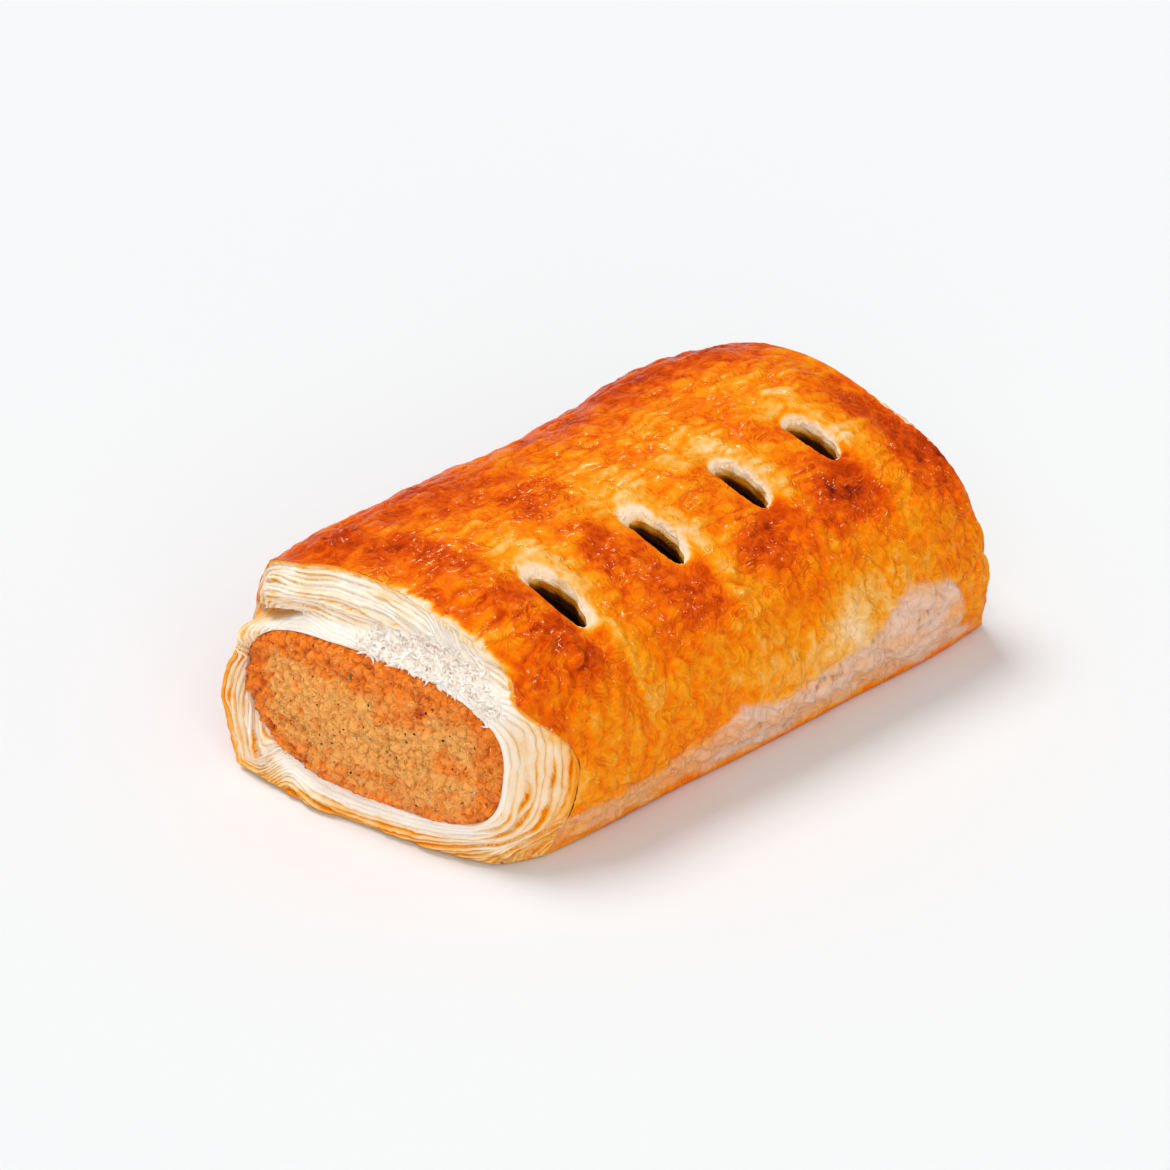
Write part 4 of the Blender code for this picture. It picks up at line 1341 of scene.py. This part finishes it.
    def _zones(self, p: np.ndarray, run: np.ndarray, t: np.ndarray
               ) -> tuple[np.ndarray, np.ndarray, np.ndarray]:
        """Where the face is torn crumb, white dough and pocket."""
        y, z = p[..., 1], p[..., 2]
        total = run[-1:] + 0.0 * run
        to_meat = total - run + 0.5 * rough(p, 3.0, 3, 131)
        above = ramp(z, 26.0, 31.0)
        below = ramp(8.5 - z, 0.0, 2.5)
        if self.end is End.BACK:
            white = np.maximum(above, below) * (1.0 - ramp(to_meat, 1.2, 2.6))
            zero = np.zeros_like(z)
            return 0.5 * white, white, zero
        middle = ramp(8.0 - y, 0.0, 9.0) * ramp(y + 30.0, 0.0, 6.0)
        band = 5.2 + 4.6 * bell(y + 13.0, 10.0)
        fluff = ramp(z, 25.0, 29.0) * middle * (1.0 - ramp(to_meat / band, 0.6, 1.3))
        upper = ramp(y, 0.0, 6.0) * above * (1.0 - ramp(to_meat, 3.0, 4.6))
        under = below * (1.0 - ramp(to_meat, 2.4, 3.8)) * ramp(26.0 - y, 0.0, 10.0)
        seam = ramp(-y, 24.0, 29.0) * (1.0 - ramp(to_meat, 0.8, 2.2))
        white = np.maximum.reduce([upper, under, 0.7 * seam])
        along = (36.0 - y) / 19.0
        centre = 25.0 + 9.0 * np.clip(along, 0.0, 1.2) ** 0.9
        thick = 1.9 * np.clip(1.0 - along, 0.0, 1.0) ** 0.6 + 0.05
        pocket = (1.0 - ramp(np.abs(z - centre) / thick, 0.75, 1.05)) * ramp(y, 15.0, 18.0)
        return fluff, white, pocket


# ---------------------------------------------------------------- meat


@dataclass
class Filling:
    """The flat core of sausage meat."""

    form: RollForm
    cells_across: int = 210
    cells_up: int = 92
    rings: int = 22
    grain: float = 0.75

    def build(self, material: bpy.types.Material) -> bpy.types.Object:
        """Two cut faces on a square grid drawn out to the outline, joined by a tube."""
        a = np.linspace(-1.0, 1.0, self.cells_across + 1)[None, :]
        b = np.linspace(-1.0, 1.0, self.cells_up + 1)[:, None]
        a, b = np.broadcast_arrays(a, b)
        n = self.form.meat_power(a, b)
        norm = (np.abs(a) ** n + np.abs(b) ** n) ** (1.0 / n)
        reach = np.maximum(np.abs(a), np.abs(b))
        scale = np.where(norm > 0.0, reach / np.maximum(norm, 1e-9), 0.0)
        unit = np.stack([a * scale, b * scale], axis=-1)
        front, front_mask = self._face(unit, reach, End.FRONT)
        back, back_mask = self._face(unit, reach, End.BACK)
        border = self._border()
        t = np.arange(1, self.rings + 1) / (self.rings + 1)
        near, far = front.reshape(-1, 3)[border], back.reshape(-1, 3)[border]
        tube = mix(near[None], far[None], t[:, None, None])
        tube[..., 1:] += 0.25 * rough(tube, 3.0, 3, 151)[..., None]
        count = front.shape[0] * front.shape[1]
        points = np.concatenate([front.reshape(-1, 3), back.reshape(-1, 3), tube.reshape(-1, 3)])
        quads = grid_faces(front.shape[0], front.shape[1], False, False)
        rows = [border] + [2 * count + r * len(border) + np.arange(len(border))
                           for r in range(self.rings)] + [count + border]
        sides = [np.stack([lo, np.roll(lo, -1), np.roll(hi, -1), hi], axis=-1)
                 for lo, hi in zip(rows, rows[1:])]
        sides = np.concatenate(sides)
        if self._turns_left(points, quads[0], sides[0]):
            sides = sides[:, ::-1]
        faces = np.concatenate([quads, (quads + count)[:, ::-1], sides])
        # On the meat's side the mask rises from 0.55 at the ends to 1.0, near black, in the middle:
        # painted shade under the crust, seen down the slits.
        masks = {"caramel_and_painted_shade": np.concatenate([front_mask.ravel(), back_mask.ravel(),
                                            (0.55 + 0.45 * ramp(np.minimum(t, 1.0 - t), 0.0, 0.15)
                                             )[:, None].repeat(len(border), 1).ravel()])}
        self.front = front
        return dress(make_piece("meat", points, faces, masks), material, "filling", "filling")

    def _turns_left(self, points: np.ndarray, cap: np.ndarray, side: np.ndarray) -> bool:
        """Whether a side quad shares an edge with a cap quad in the same direction."""
        edges = {(int(cap[i]), int(cap[(i + 1) % 4])) for i in range(4)}
        return any((int(side[i]), int(side[(i + 1) % 4])) in edges for i in range(4))

    def _border(self) -> np.ndarray:
        """Indices of the grid's edge, once round."""
        rows, columns = self.cells_up + 1, self.cells_across + 1
        index = np.arange(rows * columns).reshape(rows, columns)
        return np.concatenate([index[0, :-1], index[:-1, -1], index[-1, :0:-1], index[:0:-1, 0]])

    def _face(self, unit: np.ndarray, reach: np.ndarray, end: End
              ) -> tuple[np.ndarray, np.ndarray]:
        """One cut face: its plane, a slight crown, and lumps of minced meat."""
        form = self.form
        grow = form.meat_grow(end)
        y = form.meat_middle(end) + grow * form.meat_half_width * unit[..., 0]
        tall = form.meat_half_height + np.where(unit[..., 1] < 0.0, form.meat_sag, 0.0)
        z = form.meat_z + grow * tall * unit[..., 1]
        if end is End.FRONT:
            x = -form.length / 2 + form.meat_face(y, z)
        else:
            x = form.length / 2 - form.back_setback(y, z, form.half_widths[1])
        p = np.stack([x, y, z], axis=-1)
        bent = p + 0.7 * np.stack([rough(p, 2.0, 2, k) for k in (161, 163, 165)], axis=-1)
        near, far = cells(bent, 2.0, 167)
        lumps = 0.6 - near + 0.5 * ramp(far - near, 0.0, 0.3)
        fine = 0.5 - cells(bent, 1.05, 171)[0] + rough(p, 1.1, 2, 175)
        holes = bell(cells(p, 1.5, 181)[0], 0.24) * ramp(rough(p, 4.0, 2, 185), -0.2, 0.2)
        crown = 1.0 * (1.0 - reach ** 2) - 0.8 * ramp(reach, 0.94, 1.0)
        pitted = ramp(y, -4.0, 8.0)
        holes = holes * pitted * (1.0 - ramp(reach, 0.70, 0.85))
        height = (crown + self.grain * (mix(1.0, 0.6, pitted) * lumps + mix(0.6, 1.2, pitted) * fine)
                  + 0.70 * rough(p, 7.0, 2, 179) - 0.55 * holes) * ramp(1.02 - reach, 0.0, 0.03)
        p[..., 0] += height * (-1.0 if end is End.FRONT else 1.0)
        ragged = 0.10 * rough(p, 5.0, 3, 183)
        border = ramp(reach + ragged, 0.74, 0.96)
        upper = ramp(unit[..., 1] + 1.2 * ragged, 0.25, 0.7)
        side = ramp(unit[..., 0] + ragged, 0.72, 0.90)
        patchy = ramp(rough(p, 6.0, 3, 187), 0.0, 0.45) * ramp(4.0 - y, -6.0, 10.0)
        caramel_and_painted_shade = np.maximum.reduce([0.46 * border, 0.48 * side, 0.32 * patchy, 0.42 * upper])
        low = ramp(-unit[..., 1] + ragged, 0.2, 0.9)
        # Painted shade: the holes are darker.
        caramel_and_painted_shade = np.maximum(caramel_and_painted_shade, 0.22 * low) + 0.50 * holes
        # Painted shade: the hollows between the lumps are darker.
        pits = np.clip(0.15 - mix(lumps, fine, 0.5), 0.0, 1.0)
        cooked = bell(np.hypot(y + 12.2, 1.4 * (z - 26.0)) + 0.8 * rough(p, 1.5, 2, 191), 1.9)
        caramel_and_painted_shade = caramel_and_painted_shade + 0.10 * rough(p, 2.2, 3, 193) + mix(0.25, 0.50, pitted) * pits
        return p, np.maximum(caramel_and_painted_shade, 0.80 * cooked)


@dataclass(frozen=True)
class Bits:
    """Small pieces scattered on a face, such as pepper: how many, how big, how flat."""

    name: str
    count: int
    sizes: tuple[float, float]
    flat: float
    seed: int
    stretch: float = 1.3

    def build(self, points: np.ndarray, normals: np.ndarray, weights: np.ndarray,
              material: bpy.types.Material, slot: str,
              bake: tuple[float, float] = (0.0, 0.0)) -> bpy.types.Object:
        """Lumpy eight-by-five balls pressed onto some of the given points.

        Args:
            points: places to draw from, in mm.
            normals: unit outward direction at each place.
            weights: how likely each place is.
            material: the bits' finish.
            slot: not used.
            bake: range of browning, for a finish that reads it.
        """
        rng = np.random.default_rng(self.seed)
        chosen = rng.choice(len(points), self.count, replace=False, p=weights / weights.sum())
        at, outward = points[chosen], normals[chosen]
        turn = np.linspace(0.0, 2.0 * math.pi, 8, endpoint=False)
        rise = np.linspace(0.35, math.pi - 0.35, 5)
        ball = np.stack([np.outer(np.sin(rise), np.cos(turn)), np.outer(np.sin(rise), np.sin(turn)),
                         np.outer(np.cos(rise), np.ones(8))], axis=-1).reshape(-1, 3)
        ball = np.concatenate([ball, [[0.0, 0.0, 1.0], [0.0, 0.0, -1.0]]])
        quads = grid_faces(5, 8, False, True)
        c = np.arange(8)
        nxt = (c + 1) % 8
        tri = np.concatenate([quads[:, [0, 1, 2]], quads[:, [0, 2, 3]],
                              np.stack([np.full(8, 40), nxt, c], -1),
                              np.stack([np.full(8, 41), 32 + c, 32 + nxt], -1)])
        size = rng.uniform(*self.sizes, self.count) * 0.5
        jag = rng.uniform(0.78, 1.22, (self.count, len(ball), 1))
        body = ball[None] * jag
        body = body * np.array([self.stretch, 1.0, self.flat]) * size[:, None, None]
        angle = rng.uniform(0.0, 2.0 * math.pi, self.count)
        side = np.cross(outward, [0.31, 0.0, 0.95])
        side = side / np.maximum(np.linalg.norm(side, axis=-1, keepdims=True), 1e-6)
        up = np.cross(side, outward)
        c, s = np.cos(angle)[:, None, None], np.sin(angle)[:, None, None]
        x, y, h = body[..., 0:1], body[..., 1:2], body[..., 2:3]
        placed = (x * c - y * s) * side[:, None] + (x * s + y * c) * up[:, None]
        p = (at[:, None] + placed + h * outward[:, None]).reshape(-1, 3)
        faces = (tri[None] + (np.arange(self.count) * len(ball))[:, None, None]).reshape(-1, 3)
        tone = np.repeat(rng.uniform(*bake, self.count), len(ball))
        masks = {"bake": tone, "bare": 0.0 * tone, "glaze": 0.0 * tone + 1.0}
        return dress(make_piece(self.name, p, faces, masks), material, slot)


@dataclass(frozen=True)
class Shreds:
    """Torn strands of white dough under the flap."""

    count: int = 520
    length: tuple[float, float] = (1.0, 2.2)
    radius: float = 0.36
    seed: int = 9

    def build(self, points: np.ndarray, weights: np.ndarray, material: bpy.types.Material
              ) -> bpy.types.Object:
        """Five-sided strands along bent arcs, six rings each, round at their ends."""
        rng = np.random.default_rng(self.seed)
        chosen = rng.choice(len(points), self.count, p=weights / weights.sum())
        at = points[chosen] + rng.normal(0.0, 0.12, (self.count, 3))
        heading = rng.normal(0.0, 1.0, (self.count, 3)) * np.array([0.15, 1.0, 0.6])
        heading = heading + np.array([-0.1, -0.3, -0.3])
        heading /= np.linalg.norm(heading, axis=1, keepdims=True)
        bend = rng.normal(0.0, 1.2, (self.count, 3))
        length = rng.uniform(*self.length, self.count)[:, None]
        t = np.linspace(-0.5, 0.5, 6)
        spine = (at[:, None] + heading[:, None] * (t[None, :, None] * length[:, None])
                 + bend[:, None] * (t[None, :, None] ** 2 * length[:, None]))
        side = np.cross(heading, bend)
        side /= np.maximum(np.linalg.norm(side, axis=1, keepdims=True), 1e-6)
        other = np.cross(heading, side)
        girth = self.radius * np.sqrt(1.02 - (2.0 * t) ** 2)[None, :, None, None]
        turn = np.linspace(0.0, 2.0 * math.pi, 5, endpoint=False)[None, None, :, None]
        ring = np.cos(turn) * side[:, None, None] + np.sin(turn) * other[:, None, None]
        p = (spine[:, :, None] + girth * ring).reshape(-1, 3)
        quads = grid_faces(6, 5, False, True)
        caps = [[0, 2, 1], [0, 3, 2], [0, 4, 3], [25, 26, 27], [25, 27, 28], [25, 28, 29]]
        tri = np.concatenate([quads[:, [0, 1, 2]], quads[:, [0, 2, 3]], caps])
        faces = (tri[None] + (np.arange(self.count) * 30)[:, None, None]).reshape(-1, 3)
        ones = np.ones(len(p))
        tone = np.repeat(rng.uniform(0.0, 0.06, self.count), 30)
        masks = {"bake": tone, "bare": 0.0 * ones, "glaze": 0.0 * ones}
        return dress(make_piece("dough_shreds", p, faces, masks), material, "pastry")


# ---------------------------------------------------------------- stage


@dataclass(frozen=True)
class Stage:
    """Pale floor, soft light from the upper left and the camera."""

    azimuth: float = math.radians(-45.8)
    elevation: float = math.radians(30.0)
    distance: float = 0.81
    lens: float = 138.46
    target: tuple[float, float, float] = (-0.0035, -0.002, 0.020)
    shift: tuple[float, float] = (-22.0 / 1170.0, 20.0 / 1170.0)
    sky: float = 0.40

    def build(self) -> None:
        """Floor, sky, lights, camera and plain colour management."""
        self._floor()
        self._light()
        self._camera()
        bpy.context.scene.view_settings.view_transform = "Standard"

    def _floor(self) -> None:
        """Large pale square just under the roll."""
        mesh = bpy.data.meshes.new("floor")
        r = 3.0
        mesh.from_pydata([(-r, -r, 0.0), (r, -r, 0.0), (r, r, 0.0), (-r, r, 0.0)], [],
                         [(0, 1, 2, 3)])
        floor = bpy.data.objects.new("floor", mesh)
        bpy.context.scene.collection.objects.link(floor)
        material = bpy.data.materials.new("floor_paper")
        material.use_nodes = True
        shader = material.node_tree.nodes["Principled BSDF"]
        shader.inputs["Base Color"].default_value = (0.850, 0.862, 0.868, 1.0)
        shader.inputs["Roughness"].default_value = 0.9
        shader.inputs["Specular IOR Level"].default_value = 0.0
        mesh.materials.append(material)

    def _light(self) -> None:
        """White sky and one broad sun from the upper left."""
        world = bpy.data.worlds.new("studio")
        world.use_nodes = True
        tree = world.node_tree
        sky = tree.nodes["Background"]
        sky.inputs["Color"].default_value = (1.0, 1.0, 1.0, 1.0)
        path = tree.nodes.new("ShaderNodeLightPath")
        dim = math_node(tree, "MULTIPLY", path.outputs["Is Glossy Ray"], self.sky * 0.85)
        tree.links.new(math_node(tree, "SUBTRACT", self.sky, dim), sky.inputs["Strength"])
        bpy.context.scene.world = world
        white, warm = (1.0, 1.0, 1.0), (1.0, 0.86, 0.60)
        for name, direction, power, spread, colour in (
                ("key", (-0.12, 0.50, 1.0), 1.74, 30.0, white),
                ("fill", (-0.7, -0.85, 0.70), 1.22, 50.0, white),
                ("glint_back", (0.55, 0.50, 0.75), 0.80, 5.0, warm),
                ("glint_right", (0.60, -0.40, 0.70), 1.10, 5.0, warm),
                ("glint_front", (-0.9, -0.2, 0.7), 0.70, 5.0, warm)):
            light = bpy.data.lights.new(name, "SUN")
            light.energy = power
            light.angle = math.radians(spread)
            obj = bpy.data.objects.new(name, light)
            obj.rotation_euler = Vector(direction).to_track_quat("Z", "Y").to_euler()
            light.color = colour
            obj.visible_diffuse = colour is white
            obj.visible_glossy = colour is warm
            bpy.context.scene.collection.objects.link(obj)

    def _camera(self) -> None:
        """Long lens from the front left."""
        a, e = self.azimuth, self.elevation
        back = Vector((math.sin(a) * math.cos(e), -math.cos(a) * math.cos(e), math.sin(e)))
        camera = bpy.data.cameras.new("camera")
        camera.lens = self.lens
        camera.sensor_width = 36.0
        camera.shift_x, camera.shift_y = self.shift
        obj = bpy.data.objects.new("camera", camera)
        obj.location = Vector(self.target) + back * self.distance
        obj.rotation_euler = back.to_track_quat("Z", "Y").to_euler()
        bpy.context.scene.collection.objects.link(obj)
        bpy.context.scene.camera = obj


def main() -> None:
    """Build every piece in order."""
    logging.basicConfig(level=logging.INFO, format="%(message)s")
    form = RollForm()
    browning = Browning(form)
    grain, ramp_group = build_grain_group(), build_bake_group()
    crust_finish = CRUST.build(grain, ramp_group)
    layer_finish = LAYERS.build(grain, ramp_group)
    crust = Crust(form, browning)
    crust.build(crust_finish)
    for end in End:
        cut = CutEnd(form, browning, end)
        u = np.array([0.0 if end is End.FRONT else 1.0])
        edge = form.skin(u, np.arange(cut.places) / cut.places)[0]
        cut.build(edge, layer_finish)
        if end is End.FRONT:
            weight = cut.masks["fluff"].ravel() ** 3
            Shreds().build(cut.face.reshape(-1, 3), weight, CRUMB.build(grain, ramp_group))
    meat = Filling(form)
    meat.build(MeatFinish().build(grain))
    inner = meat.front[8:-8, 16:-16]
    facing = -np.abs(grid_normals(inner, False)[..., :1]) * np.array([1.0, 0.0, 0.0])
    facing = facing / np.linalg.norm(facing, axis=-1, keepdims=True)
    spots, facing = inner.reshape(-1, 3), facing.reshape(-1, 3)
    middle = bell(np.hypot(spots[:, 1] - 4.0, 1.5 * (spots[:, 2] - 17.0)), 13.0)
    pepper = plain_finish("ground_pepper", (0.030, 0.018, 0.012), 0.5, 0.5)
    herb = plain_finish("dried_herb", (0.20, 0.22, 0.13), 0.6, 0.6)
    # Pale flecks on the cut meat: partly pale grains that the meat has, partly painted highlights.
    fleck_and_highlight = plain_finish("pale_fleck_and_highlight", (0.90, 0.66, 0.45), 0.3, 0.85)
    Bits("pepper_specks", 46, (0.20, 0.52), 0.4, 3).build(
        spots, facing, 0.25 + middle, pepper, "filling")
    Bits("herb_flakes", 6, (0.4, 0.8), 0.25, 4, 1.7).build(
        spots, facing, 0.1 + middle, herb, "filling")
    Bits("pale_flecks_and_highlights", 10, (0.4, 0.9), 0.3, 5).build(
        spots, facing, np.ones(len(spots)), fleck_and_highlight, "filling")
    Stage().build()


if __name__ == "__main__":
    main()
